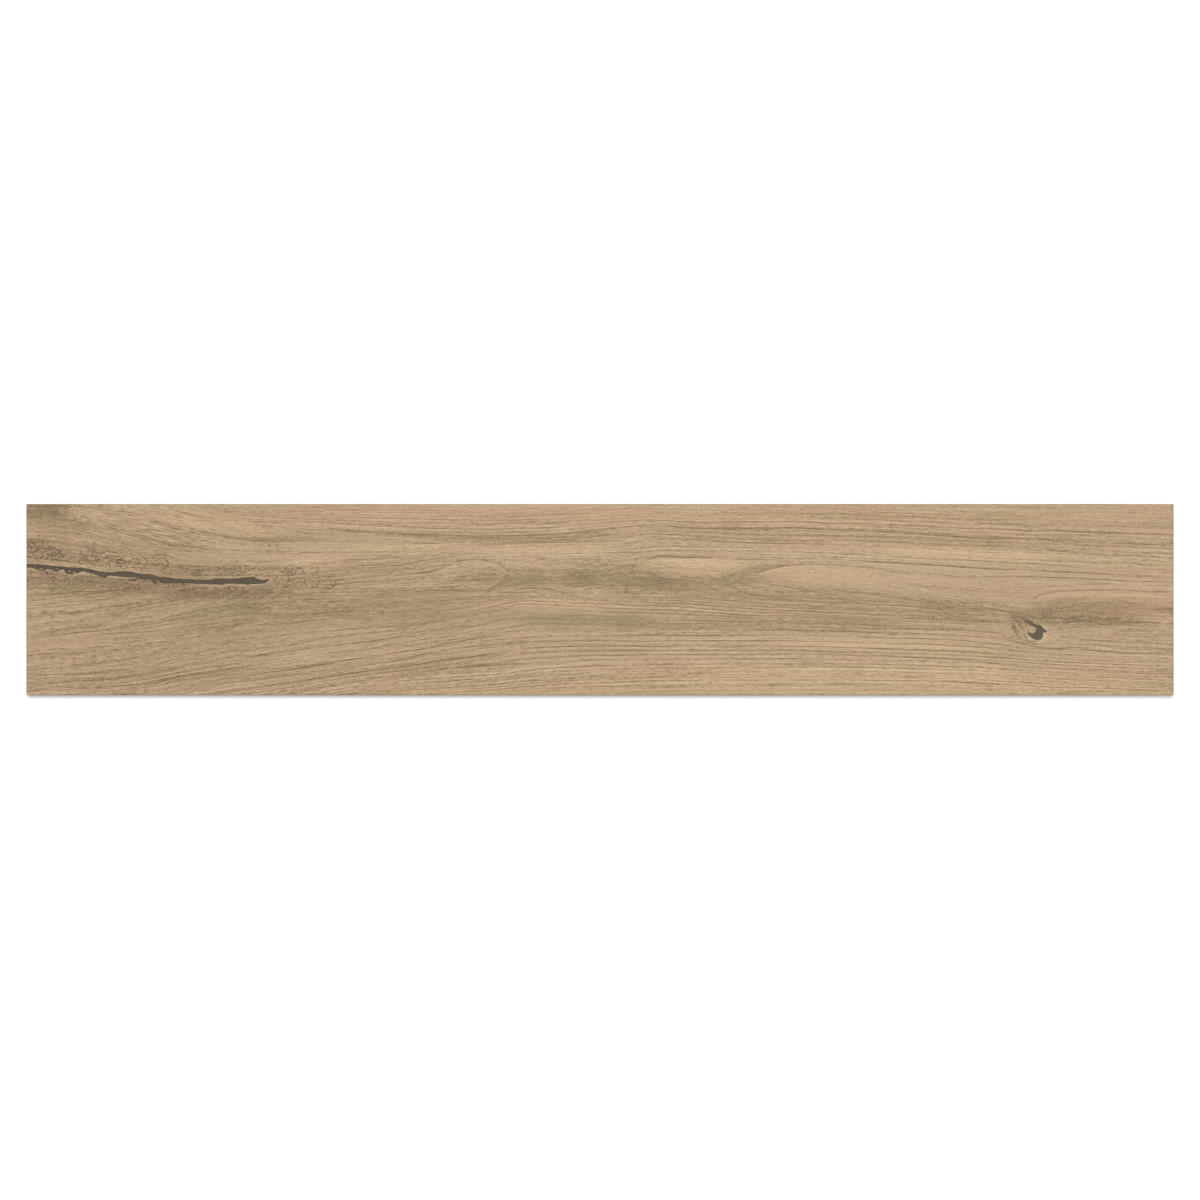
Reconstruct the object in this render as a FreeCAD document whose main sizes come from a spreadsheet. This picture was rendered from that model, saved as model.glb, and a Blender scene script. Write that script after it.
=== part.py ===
# Wood-look porcelain floor plank, 20 x 120 cm, as one pressed and fired stoneware body.
# The press leaves a grid of shallow keys on the back, which the adhesive grips.
# After firing, the four edges are ground square and the upper arris is eased by a fine bevel.
# The frame has its origin in the middle of the back, +X along the plank, +Z up out of the face.

import FreeCAD, Part
import math
import os
import Sketcher

VOLUME_TOLERANCE = 1e-6

doc = FreeCAD.newDocument("plank_tile")


# Driving dimensions, in millimetres and degrees

sizes = doc.addObject("Spreadsheet::Sheet", "sizes")

DRIVING = [
    ("length", 1200, "ground length, nominal 120 cm"),
    ("width", 200, "ground width, nominal 20 cm"),
    ("thickness", 9, "from the rib tops of the back to the face"),
    ("arris", 0.5, "bevel ground along the four upper edges"),
    ("key_border", 6, "plain band between the ground edge and the first key"),
    ("key_pitch", 33, "about how far apart the keys lie, in both directions"),
    ("key_rib", 4, "rib left standing between two keys"),
    ("key_depth", 0.6, "depth of a key below the rib tops"),
    ("key_draft", 30, "lean of a key's walls, for the press to let go"),
]

# Each row has the whole number of keys that comes nearest to the pitch.
COUNTS = [
    ("keys_along", "=round((length - 2 * key_border + key_rib) / key_pitch)", "keys in a row along the plank"),
    ("keys_across", "=round((width - 2 * key_border + key_rib) / key_pitch)", "keys in a row across the plank"),
]

for row, (alias, value, note) in enumerate(DRIVING + COUNTS, start=1):
    sizes.set(f"A{row}", alias)
    sizes.set(f"B{row}", str(value))
    sizes.set(f"C{row}", note)
    sizes.setAlias(f"B{row}", alias)
doc.recompute()

# The keys share what the border leaves of the back evenly, a rib apart.
KEY_LENGTH = "(sizes.length - 2 * sizes.key_border + sizes.key_rib) / sizes.keys_along - sizes.key_rib"
KEY_WIDTH = "(sizes.width - 2 * sizes.key_border + sizes.key_rib) / sizes.keys_across - sizes.key_rib"


def origin_feature(body, role):
    """The plane or axis of the body's own origin that has this role."""
    return next(f for f in body.Origin.OriginFeatures if f.Role == role)


def back_sketch(body, name):
    """An empty sketch on the plane of the tile's back, seen from above."""
    sketch = body.newObject("Sketcher::SketchObject", name)
    sketch.AttachmentSupport = (origin_feature(body, "XY_Plane"), "")
    sketch.MapMode = "FlatFace"
    return sketch


def draw_rectangle(sketch, low, high):
    """Draws four joined sides between two opposite corners. Their order is south, east, north, west."""
    corners = [
        FreeCAD.Vector(low[0], low[1], 0),
        FreeCAD.Vector(high[0], low[1], 0),
        FreeCAD.Vector(high[0], high[1], 0),
        FreeCAD.Vector(low[0], high[1], 0),
    ]
    start, end = 1, 2
    for side in range(4):
        sketch.addGeometry(Part.LineSegment(corners[side], corners[(side + 1) % 4]), False)
    for side in range(4):
        sketch.addConstraint(Sketcher.Constraint("Coincident", side, end, (side + 1) % 4, start))
    for side in (0, 2):
        sketch.addConstraint(Sketcher.Constraint("Horizontal", side))
    for side in (1, 3):
        sketch.addConstraint(Sketcher.Constraint("Vertical", side))


def bind(sketch, name, constraint, expression):
    """Adds a named dimension to the sketch and ties it to the sheet."""
    index = sketch.addConstraint(constraint)
    sketch.renameConstraint(index, name)
    sketch.setExpression(f"Constraints.{name}", expression)


def blank_outline(body):
    """The plank's outline, centred on the origin."""
    half_length, half_width = sizes.length / 2, sizes.width / 2
    sketch = back_sketch(body, "outline")
    draw_rectangle(sketch, (-half_length, -half_width), (half_length, half_width))
    sketch.addConstraint(Sketcher.Constraint("Symmetric", 0, 1, 2, 1, -1, 1))
    bind(sketch, "plank_length", Sketcher.Constraint("DistanceX", 0, 1, 0, 2, sizes.length), "sizes.length")
    bind(sketch, "plank_width", Sketcher.Constraint("DistanceY", 1, 1, 1, 2, sizes.width), "sizes.width")
    return sketch


def ease_arris(body, blank):
    """Bevels the four edges of the blank that lie all round its face."""
    top = sizes.thickness
    upper = [
        f"Edge{number}"
        for number, edge in enumerate(blank.Shape.Edges, start=1)
        if all(math.isclose(vertex.Z, top, abs_tol=1e-6) for vertex in edge.Vertexes)
    ]
    bevel = body.newObject("PartDesign::Chamfer", "eased_arris")
    bevel.Base = (blank, upper)
    bevel.ChamferType = "Equal distance"
    bevel.setExpression("Size", "sizes.arris")
    return bevel


def key_outline(body):
    """The mouth of the first key, in the corner of the back at -X and -Y."""
    low = (-sizes.length / 2 + sizes.key_border, -sizes.width / 2 + sizes.key_border)
    sketch = back_sketch(body, "key_mouth")
    draw_rectangle(sketch, low, (low[0] + sizes.key_rib, low[1] + sizes.key_rib))
    from_middle = "sizes.{} / 2 - sizes.key_border"
    bind(sketch, "key_length", Sketcher.Constraint("DistanceX", 0, 1, 0, 2, sizes.key_rib), KEY_LENGTH)
    bind(sketch, "key_width", Sketcher.Constraint("DistanceY", 1, 1, 1, 2, sizes.key_rib), KEY_WIDTH)
    bind(sketch, "along", Sketcher.Constraint("DistanceX", 0, 1, -1, 1, -low[0]), from_middle.format("length"))
    bind(sketch, "across", Sketcher.Constraint("DistanceY", 0, 1, -1, 1, -low[1]), from_middle.format("width"))
    return sketch


def press_key(body, mouth):
    """Sinks one key into the back, narrower at its floor by the draft of its walls."""
    key = body.newObject("PartDesign::Pocket", "key")
    key.Profile = (mouth, "")
    key.Reversed = True
    key.setExpression("Length", "sizes.key_depth")
    key.setExpression("TaperAngle", "-sizes.key_draft")
    return key


def repeat_key(body, key):
    """Repeats the key in rows along and across the plank."""
    grid = body.newObject("PartDesign::LinearPattern", "key_grid")
    grid.Originals = [key]
    grid.Direction = (origin_feature(body, "X_Axis"), [""])
    grid.Direction2 = (origin_feature(body, "Y_Axis"), [""])
    grid.setExpression("Length", f"sizes.length - 2 * sizes.key_border - ({KEY_LENGTH})")
    grid.setExpression("Length2", f"sizes.width - 2 * sizes.key_border - ({KEY_WIDTH})")
    grid.setExpression("Occurrences", "sizes.keys_along")
    grid.setExpression("Occurrences2", "sizes.keys_across")
    return grid


def make_plank():
    """The whole tile: pressed blank, ground bevel and the grid of keys."""
    body = doc.addObject("PartDesign::Body", "plank_tile")
    body.Label = "plank_tile"
    blank = body.newObject("PartDesign::Pad", "blank")
    blank.Profile = (blank_outline(body), "")
    blank.setExpression("Length", "sizes.thickness")
    doc.recompute()
    ease_arris(body, blank)
    key = press_key(body, key_outline(body))
    doc.recompute()
    body.Tip = repeat_key(body, key)
    doc.recompute()
    return body


def expected_volume():
    """The blank, less the bevel's prisms with their mitred corners, less the keys as frustums."""
    blank = sizes.length * sizes.width * sizes.thickness
    bevel = sizes.arris**2 * (sizes.length + sizes.width) - sizes.arris**3 * 4 / 3
    lean = 2 * sizes.key_depth * math.tan(math.radians(sizes.key_draft))
    pitch_along = (sizes.length - 2 * sizes.key_border + sizes.key_rib) / sizes.keys_along
    pitch_across = (sizes.width - 2 * sizes.key_border + sizes.key_rib) / sizes.keys_across
    mouth = (pitch_along - sizes.key_rib, pitch_across - sizes.key_rib)
    floor = (mouth[0] - lean, mouth[1] - lean)
    middle = ((mouth[0] + floor[0]) / 2, (mouth[1] + floor[1]) / 2)
    areas = mouth[0] * mouth[1] + 4 * middle[0] * middle[1] + floor[0] * floor[1]
    key = sizes.key_depth * areas / 6
    return blank - bevel - key * sizes.keys_along * sizes.keys_across


def check(body):
    """Stops the build if a feature failed, the solid isn't sound, or a cut missed the body."""
    failed = [o.Name for o in doc.Objects if {"Invalid", "Error"} & set(o.State)]
    if failed:
        raise RuntimeError(f"features that failed: {failed}")
    shape = body.Shape
    if shape.isNull() or not shape.isValid() or len(shape.Solids) != 1:
        raise RuntimeError(f"{body.Label} isn't one valid solid")
    wanted = expected_volume()
    if not math.isclose(shape.Volume, wanted, rel_tol=VOLUME_TOLERANCE):
        raise RuntimeError(f"{body.Label} has {shape.Volume:.1f} mm3 and should have {wanted:.1f} mm3")
    print(f"{body.Label}: {shape.BoundBox}, {shape.Volume:.1f} mm3, {len(shape.Faces)} faces")


plank = make_plank()
check(plank)
os.makedirs("parts", exist_ok=True)
plank.Shape.exportStep(f"parts/{plank.Label}.step")
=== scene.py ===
# Wood look porcelain plank tile, 20 x 120 cm, lying face up on a white floor and seen from straight above.
# Lengths are in metres, in the frame whose origin is the middle of the tile's back.

import math

import bpy
import numpy as np
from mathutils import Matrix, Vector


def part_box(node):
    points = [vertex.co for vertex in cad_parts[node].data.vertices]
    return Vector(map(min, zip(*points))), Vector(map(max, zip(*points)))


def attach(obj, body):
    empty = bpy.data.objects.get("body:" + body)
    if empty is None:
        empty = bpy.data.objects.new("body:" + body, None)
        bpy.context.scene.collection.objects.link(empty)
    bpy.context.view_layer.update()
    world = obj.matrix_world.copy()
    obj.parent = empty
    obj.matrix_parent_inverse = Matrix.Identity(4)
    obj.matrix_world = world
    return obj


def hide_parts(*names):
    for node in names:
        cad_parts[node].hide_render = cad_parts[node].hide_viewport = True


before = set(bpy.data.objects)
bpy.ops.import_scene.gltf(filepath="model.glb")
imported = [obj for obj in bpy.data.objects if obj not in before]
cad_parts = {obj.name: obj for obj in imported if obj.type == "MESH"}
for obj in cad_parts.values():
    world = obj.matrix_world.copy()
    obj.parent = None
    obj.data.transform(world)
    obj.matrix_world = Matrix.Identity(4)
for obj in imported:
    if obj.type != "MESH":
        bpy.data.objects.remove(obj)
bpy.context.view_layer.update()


# The fired plank
# One plank of pressed stoneware, printed with the figure of an oak board and fired as one body.
# Its edges are ground square and finely bevelled after the print, and it lies loose on its keyed back.

ARRIS = 0.0005
KEY_BORDER = 0.006
KEY_RIB = 0.004
KEY_DEPTH = 0.0006
KEY_DRAFT = math.radians(30)
KEYS_ALONG = 36
KEYS_ACROSS = 6

LOW, HIGH = (np.array(corner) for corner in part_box("plank_tile"))
FACE_LOW, FACE_HIGH = LOW[:2] + ARRIS, HIGH[:2] - ARRIS
FACE_TOP = HIGH[2]

# The figure is laid out on the face in the photograph's pixels, with x to the right and y downwards.
FRAME_PIXELS = 1200
PIXEL = 0.0010458
FACE_MIDDLE = (600.0, 599.6)

# Long fibres that run the whole length of the board, from above its upper edge to below its lower one.
# Each has its depth in the board, a number that counts up across the grain, and the places it passes.
FIBRES = {
    2: [(20, 464), (75, 468), (103, 474), (213, 500), (268, 505), (604, 503), (786, 501), (1180, 506)],
    31: [
        (20, 486), (75, 489), (163, 505), (240, 523), (309, 527), (390, 533), (480, 536), (552, 534),
        (645, 525), (699, 528), (786, 528), (919, 533), (974, 536), (1180, 543),
    ],
    46: [
        (20, 520), (75, 524), (163, 545), (213, 553), (250, 555), (377, 551), (436, 550), (466, 546),
        (556, 542), (613, 542), (633, 537), (651, 534), (766, 541), (848, 542), (919, 544), (955, 546),
        (1057, 549), (1180, 555),
    ],
    57: [
        (20, 551), (60, 554), (103, 561), (151, 566), (213, 568), (268, 567), (322, 565), (371, 561),
        (399, 560), (445, 554), (478, 551), (518, 552), (604, 551), (640, 549), (661, 547), (738, 548),
        (848, 551), (919, 555), (1066, 562), (1180, 566),
    ],
    66: [
        (20, 561), (106, 570), (151, 573), (213, 576), (268, 576), (300, 575), (364, 568), (400, 565),
        (436, 561), (456, 558), (476, 557), (600, 560), (631, 560), (661, 556), (787, 558), (848, 560),
        (879, 562), (1029, 570), (1180, 576),
    ],
    73: [
        (20, 563), (106, 572), (188, 578), (268, 580), (300, 579), (330, 577), (364, 573), (472, 564),
        (500, 563), (604, 567), (730, 568), (817, 564), (873, 568), (936, 575), (984, 578), (1053, 579),
        (1180, 583),
    ],
    81: [
        (20, 566), (51, 568), (82, 571), (106, 575), (138, 576), (167, 580), (213, 582), (300, 584),
        (330, 583), (364, 580), (400, 578), (436, 575), (500, 571), (560, 573), (600, 573), (631, 569),
        (680, 571), (757, 577), (866, 582), (984, 591), (1053, 593), (1113, 592), (1180, 592),
    ],
    97: [
        (20, 612), (60, 608), (120, 600), (150, 594), (180, 590), (210, 587), (240, 587), (330, 592),
        (479, 590), (510, 592), (604, 592), (660, 590), (700, 591), (741, 593), (763, 595), (919, 603),
        (974, 607), (1005, 611), (1020, 614), (1036, 615), (1053, 615), (1077, 612), (1115, 612),
        (1180, 615),
    ],
    103: [
        (20, 637), (60, 632), (120, 626), (150, 621), (180, 615), (210, 608), (240, 602), (270, 599),
        (300, 598), (360, 598), (400, 599), (506, 596), (552, 596), (680, 598), (818, 605), (955, 613),
        (992, 616), (1030, 624), (1042, 625), (1053, 623), (1077, 621), (1115, 621), (1180, 624),
    ],
    112: [
        (20, 647), (89, 643), (120, 642), (180, 638), (210, 634), (240, 629), (356, 622), (393, 621),
        (424, 619), (454, 614), (483, 608), (506, 602), (524, 599), (552, 600), (680, 605), (753, 611),
        (900, 618), (955, 620), (992, 623), (1030, 631), (1042, 632), (1053, 630), (1077, 628), (1115, 628),
        (1180, 630),
    ],
    118: [
        (20, 669), (90, 663), (120, 659), (180, 647), (210, 642), (240, 638), (307, 632), (424, 625),
        (506, 608), (524, 605), (604, 610), (680, 613), (753, 617), (818, 618), (955, 623), (992, 626),
        (1013, 630), (1030, 635), (1042, 636), (1053, 633), (1077, 631), (1115, 633), (1180, 635),
    ],
    126: [
        (20, 684), (106, 680), (140, 677), (188, 666), (240, 658), (372, 642), (408, 636), (479, 627),
        (506, 621), (536, 618), (604, 620), (766, 622), (900, 625), (946, 627), (987, 630), (1013, 634),
        (1030, 638), (1042, 639), (1053, 636), (1067, 635), (1130, 639), (1180, 641),
    ],
    140: [
        (20, 698), (106, 692), (145, 688), (188, 680), (240, 673), (362, 658), (408, 651), (454, 645),
        (479, 641), (556, 636), (786, 635), (960, 640), (990, 643), (1023, 648), (1080, 650), (1180, 655),
    ],
    151: [
        (20, 709), (106, 705), (145, 701), (188, 695), (286, 683), (330, 676), (460, 657), (526, 647),
        (555, 645), (786, 645), (930, 649), (990, 652), (1020, 655), (1080, 659), (1180, 662),
    ],
    169: [
        (20, 726), (145, 720), (240, 708), (316, 693), (347, 688), (393, 682), (439, 678), (495, 675),
        (521, 671), (552, 668), (598, 666), (700, 664), (866, 664), (990, 668), (1053, 672), (1180, 678),
    ],
    199: [
        (20, 748), (240, 730), (347, 714), (460, 704), (552, 698), (700, 694), (866, 693), (930, 694),
        (1048, 699), (1180, 703),
    ],
}
# How widely their bends are rounded, how far they go on past the frame, and over how many rows their fanning
# is measured, all in pixels.
FIBRE_EASE = 7
FIBRE_SPARE = 60
FAN_REACH = 8

# The board was sawn just beside its pith, which runs along the middle fibre and dips under the face.
# Where it dips deeper than a growth ring is wide, that ring closes in a pointed tongue.
PITH_DEPTH = 81
PITH_DIP = [
    (20, 3), (268, 4), (416, 4), (456, 6), (486, 10), (500, 12), (510, 15), (540, 20), (600, 20),
    (631, 15), (661, 12), (727, 11), (757, 9), (800, 7), (1000, 6), (1180, 5),
]

# Depths at which the dark late wood of a growth ring comes to the face, above the pith and then below it.
RING_DEPTHS = [
    -2, 2, 5, 8.5, 12, 15.5, 19, 24.5, 31.5, 38.5, 45, 49.5, 56, 60, 66, 72,
    98, 104.5, 110.5, 118.5, 126, 130.5, 134.5, 140, 146, 152, 156, 160, 164, 169,
    172.5, 177, 180.5, 185, 190, 196, 202,
]


def column_heights(points, columns):
    """A line across the photograph as its height at each column: straight runs, rounded by a bell curve."""
    fine = np.arange(-FIBRE_SPARE, FRAME_PIXELS + FIBRE_SPARE, dtype=float)
    reach = np.arange(-4 * FIBRE_EASE, 4 * FIBRE_EASE + 1)
    bell = np.exp(-0.5 * (reach / FIBRE_EASE) ** 2)
    places, heights = zip(*points)
    straight = np.interp(fine, places, heights)
    rounded = np.convolve(np.pad(straight, len(reach) // 2, mode="edge"), bell / bell.sum(), mode="valid")
    return np.interp(columns, fine, rounded)


def grain_depth(x, y):
    """Depth across the grain. Between two fibres it rises evenly, so it is the sum of the steps passed."""
    columns = x[:, :1]
    depths = list(FIBRES)
    lines = [column_heights(FIBRES[depth], columns) for depth in depths]
    total = np.full(x.shape, float(depths[0]))
    for step in range(len(depths) - 1):
        passed = np.clip((y - lines[step]) / (lines[step + 1] - lines[step]), 0, 1)
        total += passed * (depths[step + 1] - depths[step])
    return total


def fanning(x, y):
    """How far the grain fans out: 0 where a unit of depth takes a pixel, 1 where it takes two or more."""
    rise = grain_depth(x, y + FAN_REACH) - grain_depth(x, y - FAN_REACH)
    return np.clip(np.log2(2 * FAN_REACH / rise), 0, 1)


def ring_count(depth):
    """How many rings lie before each depth, whole at a ring's late wood, and how wide the ring there is."""
    years = np.interp(depth, RING_DEPTHS, np.arange(len(RING_DEPTHS)))
    widths = np.diff(RING_DEPTHS)
    return years, widths[np.clip(years.astype(int), 0, len(widths) - 1)]


def ring_radius(x, depth):
    """Distance from the pith: the root of the squares of the depth from it and of its dip."""
    dip = column_heights(PITH_DIP, x[:, :1])
    return np.hypot(depth - PITH_DEPTH, dip)


def distance_to(line, x, y):
    """Each place's distance to a line, the line's share up to its nearest spot, and the place's side."""
    nearest = np.full(x.shape, np.inf)
    share = np.zeros(x.shape)
    side = np.ones(x.shape)
    points = np.array(line, dtype=float)
    lengths = np.hypot(*np.diff(points, axis=0).T)
    before = np.concatenate([[0], np.cumsum(lengths)])
    for start, end, length, run in zip(points[:-1], points[1:], lengths, before):
        step = (end - start) / length
        along = np.clip((x - start[0]) * step[0] + (y - start[1]) * step[1], 0, length)
        apart = np.hypot(x - start[0] - along * step[0], y - start[1] - along * step[1])
        closer = apart < nearest
        share = np.where(closer, (run + along) / before[-1], share)
        side = np.where(closer, np.sign((y - start[1]) * step[0] - (x - start[0]) * step[1]), side)
        nearest = np.where(closer, apart, nearest)
    return nearest, share, side


def rounded_line(points, pieces=6):
    """A smooth curve through the points: on each span, the cubic with the slopes of the neighbours."""
    path = np.array(points, dtype=float)
    path = np.vstack([2 * path[0] - path[1], path, 2 * path[-1] - path[-2]])
    t = np.linspace(0, 1, pieces, endpoint=False)[:, None]
    spans = []
    for a, b, c, d in zip(path[:-3], path[1:-2], path[2:-1], path[3:]):
        bend, twist = 2 * a - 5 * b + 4 * c - d, 3 * b - a - 3 * c + d
        spans.append(0.5 * (2 * b + (c - a) * t + bend * t**2 + twist * t**3))
    return np.vstack(spans + [path[-2:-1]])


# Rings and pore lines that stand out one by one, as their strength, their half width and their course.
DARK_LINES = [
    (0.3, 0.9, [(163, 506), (182, 513), (219, 523), (240, 530), (251, 536), (266, 541), (282, 541)]),
    (0.9, 0.8, [(321, 528), (391, 534), (414, 534.5), (440, 534)]),
    (0.5, 0.8, [(406, 538), (487, 538), (525, 535), (604, 533)]),
    (0.5, 0.8, [(406, 543), (450, 543), (620, 537), (640, 532)]),
    (0.5, 0.8, [(280, 554), (350, 552), (408, 552), (436, 550), (466, 546)]),
    (0.45, 0.8, [
        (460, 546.5), (506, 544), (526, 543.5), (556, 542), (613, 542), (648, 534.5), (699, 535),
    ]),
    (0.5, 0.9, [
        (322, 571), (347, 569), (372, 565), (399, 565), (424, 560), (445, 558), (462, 554), (486, 552),
    ]),
    (0.7, 0.9, [
        (413, 574), (436, 570.4), (447, 566.4), (456, 562), (470, 559.6), (484, 559.6), (495, 562.8),
    ]),
    (0.7, 0.9, [
        (494, 562.5), (503, 567), (509.4, 572), (507, 576), (500, 583), (492, 588.5), (484, 595),
    ]),
    (0.4, 0.8, [(484, 566), (492, 569), (495, 572), (490, 577), (480, 583)]),
    (0.6, 0.8, [(424, 590), (479, 590.5), (492, 592)]),
    (0.8, 1, [(640, 563), (657, 557), (672, 556.5), (738, 559), (787, 559)]),
    (0.7, 1, [(628, 571), (633, 567), (640, 562.6), (650, 558.8), (662, 556.7)]),
    (0.4, 0.8, [(630, 569), (637, 572), (650, 574), (668, 575.4)]),
    (0.8, 0.8, [(787, 559), (818, 558), (879, 562), (919, 564), (974, 568), (1029, 570.5)]),
    (0.6, 0.8, [(1029, 570.5), (1130, 575), (1174, 577)]),
    (0.9, 1, [(756, 573), (770, 569), (790, 565.5), (817, 564), (825, 564.2)]),
    (0.6, 1.4, [(810, 564), (838, 565), (873, 568), (898, 572), (919, 574.5)]),
    (0.6, 0.8, [
        (919, 574.5), (937, 574.5), (961, 577), (1011, 576.5), (1066, 578), (1113, 580), (1140, 582),
        (1174, 580.5),
    ]),
    (0.45, 0.8, [(756, 578), (765, 582.5), (778, 585.5), (817, 592.3), (838, 597)]),
    (0.45, 0.8, [(727, 584.5), (735, 589), (748, 593.3), (774, 598), (805, 600)]),
    (0.45, 0.8, [(637, 573), (649, 575), (668, 575.6), (707, 578), (728, 580)]),
    (0.25, 0.8, [(631, 563.6), (634.5, 570.5), (637, 573)]),
    (0.6, 0.7, [
        (500, 594.5), (515, 590.3), (531, 588.2), (548, 589.2), (566, 593.3), (581, 598.5),
        (597, 599.5),
    ]),
    (0.5, 0.7, [
        (571, 578), (573, 574.6), (578, 573.2), (584, 574.6), (586, 578), (583, 581.6), (577, 582.4),
        (572, 580),
    ]),
    (0.5, 0.7, [(564, 580), (568, 585), (577, 587), (588, 585), (594, 580)]),
    (0.5, 0.7, [(457, 577.5), (470, 575.2), (480, 574.2), (489, 575.4)]),
    (0.4, 0.7, [(450, 580), (466, 580.6), (484, 579)]),
    (0.7, 0.9, [(668, 528), (763, 529), (790, 527.5), (818, 529), (866, 530.5), (919, 533.6)]),
    (0.75, 1, [(866, 530.5), (919, 533.6), (974, 538), (1015, 538.5), (1066, 540.3)]),
    (0.6, 0.8, [(1050, 540), (1103, 542.7), (1174, 545.5)]),
    (0.6, 0.8, [(711, 542), (802, 543.3), (830, 543)]),
    (0.6, 0.8, [(818, 539), (879, 541.3), (955, 547.3)]),
    (0.6, 0.8, [(1040, 549), (1075, 552), (1150, 556)]),
    (0.4, 0.8, [
        (640, 514.5), (690, 515.5), (786, 514), (900, 516), (987, 520.5), (1048, 528.8), (1094, 532.5),
        (1174, 534.4),
    ]),
    (0.45, 0.8, [(460, 525), (536, 524.4), (628, 521.4), (648, 521.6), (674, 526), (699, 527.5)]),
    (0.35, 0.8, [(506, 536), (552, 535), (622, 526.7), (645, 527), (680, 531)]),
    (0.5, 0.9, [(27, 595.5), (74, 592), (86, 588), (97, 582)]),
    (0.6, 0.8, [(27, 601), (66, 597), (95, 593.5), (118, 590)]),
    (0.5, 0.8, [(27, 609), (64, 606), (95, 602), (118, 596), (130, 592)]),
    (0.6, 0.8, [(27, 617), (115, 609.5), (155, 604), (188, 598)]),
    (0.4, 0.8, [(27, 628.5), (66, 628.5), (118, 625), (150, 621)]),
    (0.5, 0.9, [(89, 634.7), (158, 631), (204, 625), (259, 618.6)]),
    (0.6, 0.8, [(27, 675), (81, 674), (112, 670.7), (136, 670.7)]),
    (0.45, 0.8, [(150, 669), (181, 658.5), (307, 643)]),
    (0.5, 0.8, [(150, 684.5), (188, 676), (259, 667.6)]),
    (0.5, 0.8, [(27, 690.5), (66, 687.5), (145, 684.5), (167, 678)]),
    (0.8, 0.75, [
        (240, 659), (300, 650), (350, 643.5), (380, 640), (407, 634.5), (433, 630), (470, 625),
    ]),
    (0.7, 0.75, [(330, 631.5), (370, 627), (405, 626), (440, 621), (451, 618.5), (479, 614)]),
    (0.6, 0.75, [(280, 646), (350, 635), (379, 632.5), (410, 628)]),
    (0.95, 0.75, [
        (250, 675), (300, 668), (350, 660), (375, 655), (420, 649.5), (455, 642), (500, 635.5),
    ]),
    (0.85, 0.75, [
        (320, 668), (350, 664.5), (385, 659.5), (415, 656), (450, 649.5), (490, 645), (530, 641),
    ]),
    (0.85, 0.75, [
        (250, 688), (300, 681), (350, 673.5), (400, 667), (440, 661), (470, 657), (510, 653),
    ]),
    (0.85, 0.75, [
        (300, 690), (350, 683), (375, 678.5), (400, 676), (450, 668.5), (490, 665.5), (530, 663),
    ]),
    (0.5, 0.8, [(460, 630), (490, 621.7), (506, 618.6), (536, 617)]),
    (0.35, 0.9, [
        (816, 588), (863, 593), (956, 606), (984, 608), (1000, 609.7), (1007, 611), (1016, 614.5),
    ]),
    (0.6, 0.8, [(900, 605), (928, 606), (1011, 612), (1029, 615)]),
    (0.7, 0.9, [(900, 618), (992, 622), (1012, 620)]),
    (0.6, 0.8, [(860, 625), (900, 628), (946, 629), (987, 631.5), (1007, 634)]),
    (0.7, 0.8, [(866, 648), (900, 650), (946, 651), (981, 653), (1024, 660)]),
    (0.6, 0.8, [(900, 657), (946, 659), (981, 662), (1004, 665), (1048, 668.5), (1168, 674)]),
    (0.7, 0.9, [(1000, 637), (1029, 645.5), (1057, 649), (1076, 647.5), (1112, 652.5), (1174, 653)]),
    (0.5, 0.8, [(1054, 632.5), (1066, 638), (1085, 640), (1120, 641.5), (1174, 643)]),
    (0.7, 0.9, [
        (1035.5, 610), (1034, 604), (1034, 599), (1042, 594), (1066, 591), (1122, 590), (1150, 592),
        (1174, 591),
    ]),
    (1.2, 0.7, [
        (1044, 617), (1052, 618.4), (1058, 617.6), (1066, 619.4), (1073, 617.6), (1087, 616.4),
    ]),
    (0.9, 0.7, [
        (1086, 616.4), (1092, 618), (1098, 617.4), (1108, 619.2), (1115, 618.2), (1122, 618.8),
    ]),
    (1, 0.7, [(1045, 622.4), (1055, 622.7), (1076, 621.2), (1087, 621.6), (1096, 622.8)]),
    (0.8, 0.7, [(1096, 622.8), (1108, 624), (1142, 622.4), (1160, 623)]),
    (0.35, 0.9, [(1140, 608.5), (1158, 609.5), (1174, 608)]),
    (0.35, 2.4, [(722, 579), (738, 573), (755, 568), (774, 564.5), (796, 562.6)]),
    (0.3, 2, [(509, 573), (503, 580), (494, 587), (484, 594)]),
    (0.6, 0.8, [(289, 554.8), (300, 554.5), (303, 552.2), (312, 552.2), (327, 553.4), (336, 551)]),
]

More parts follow.
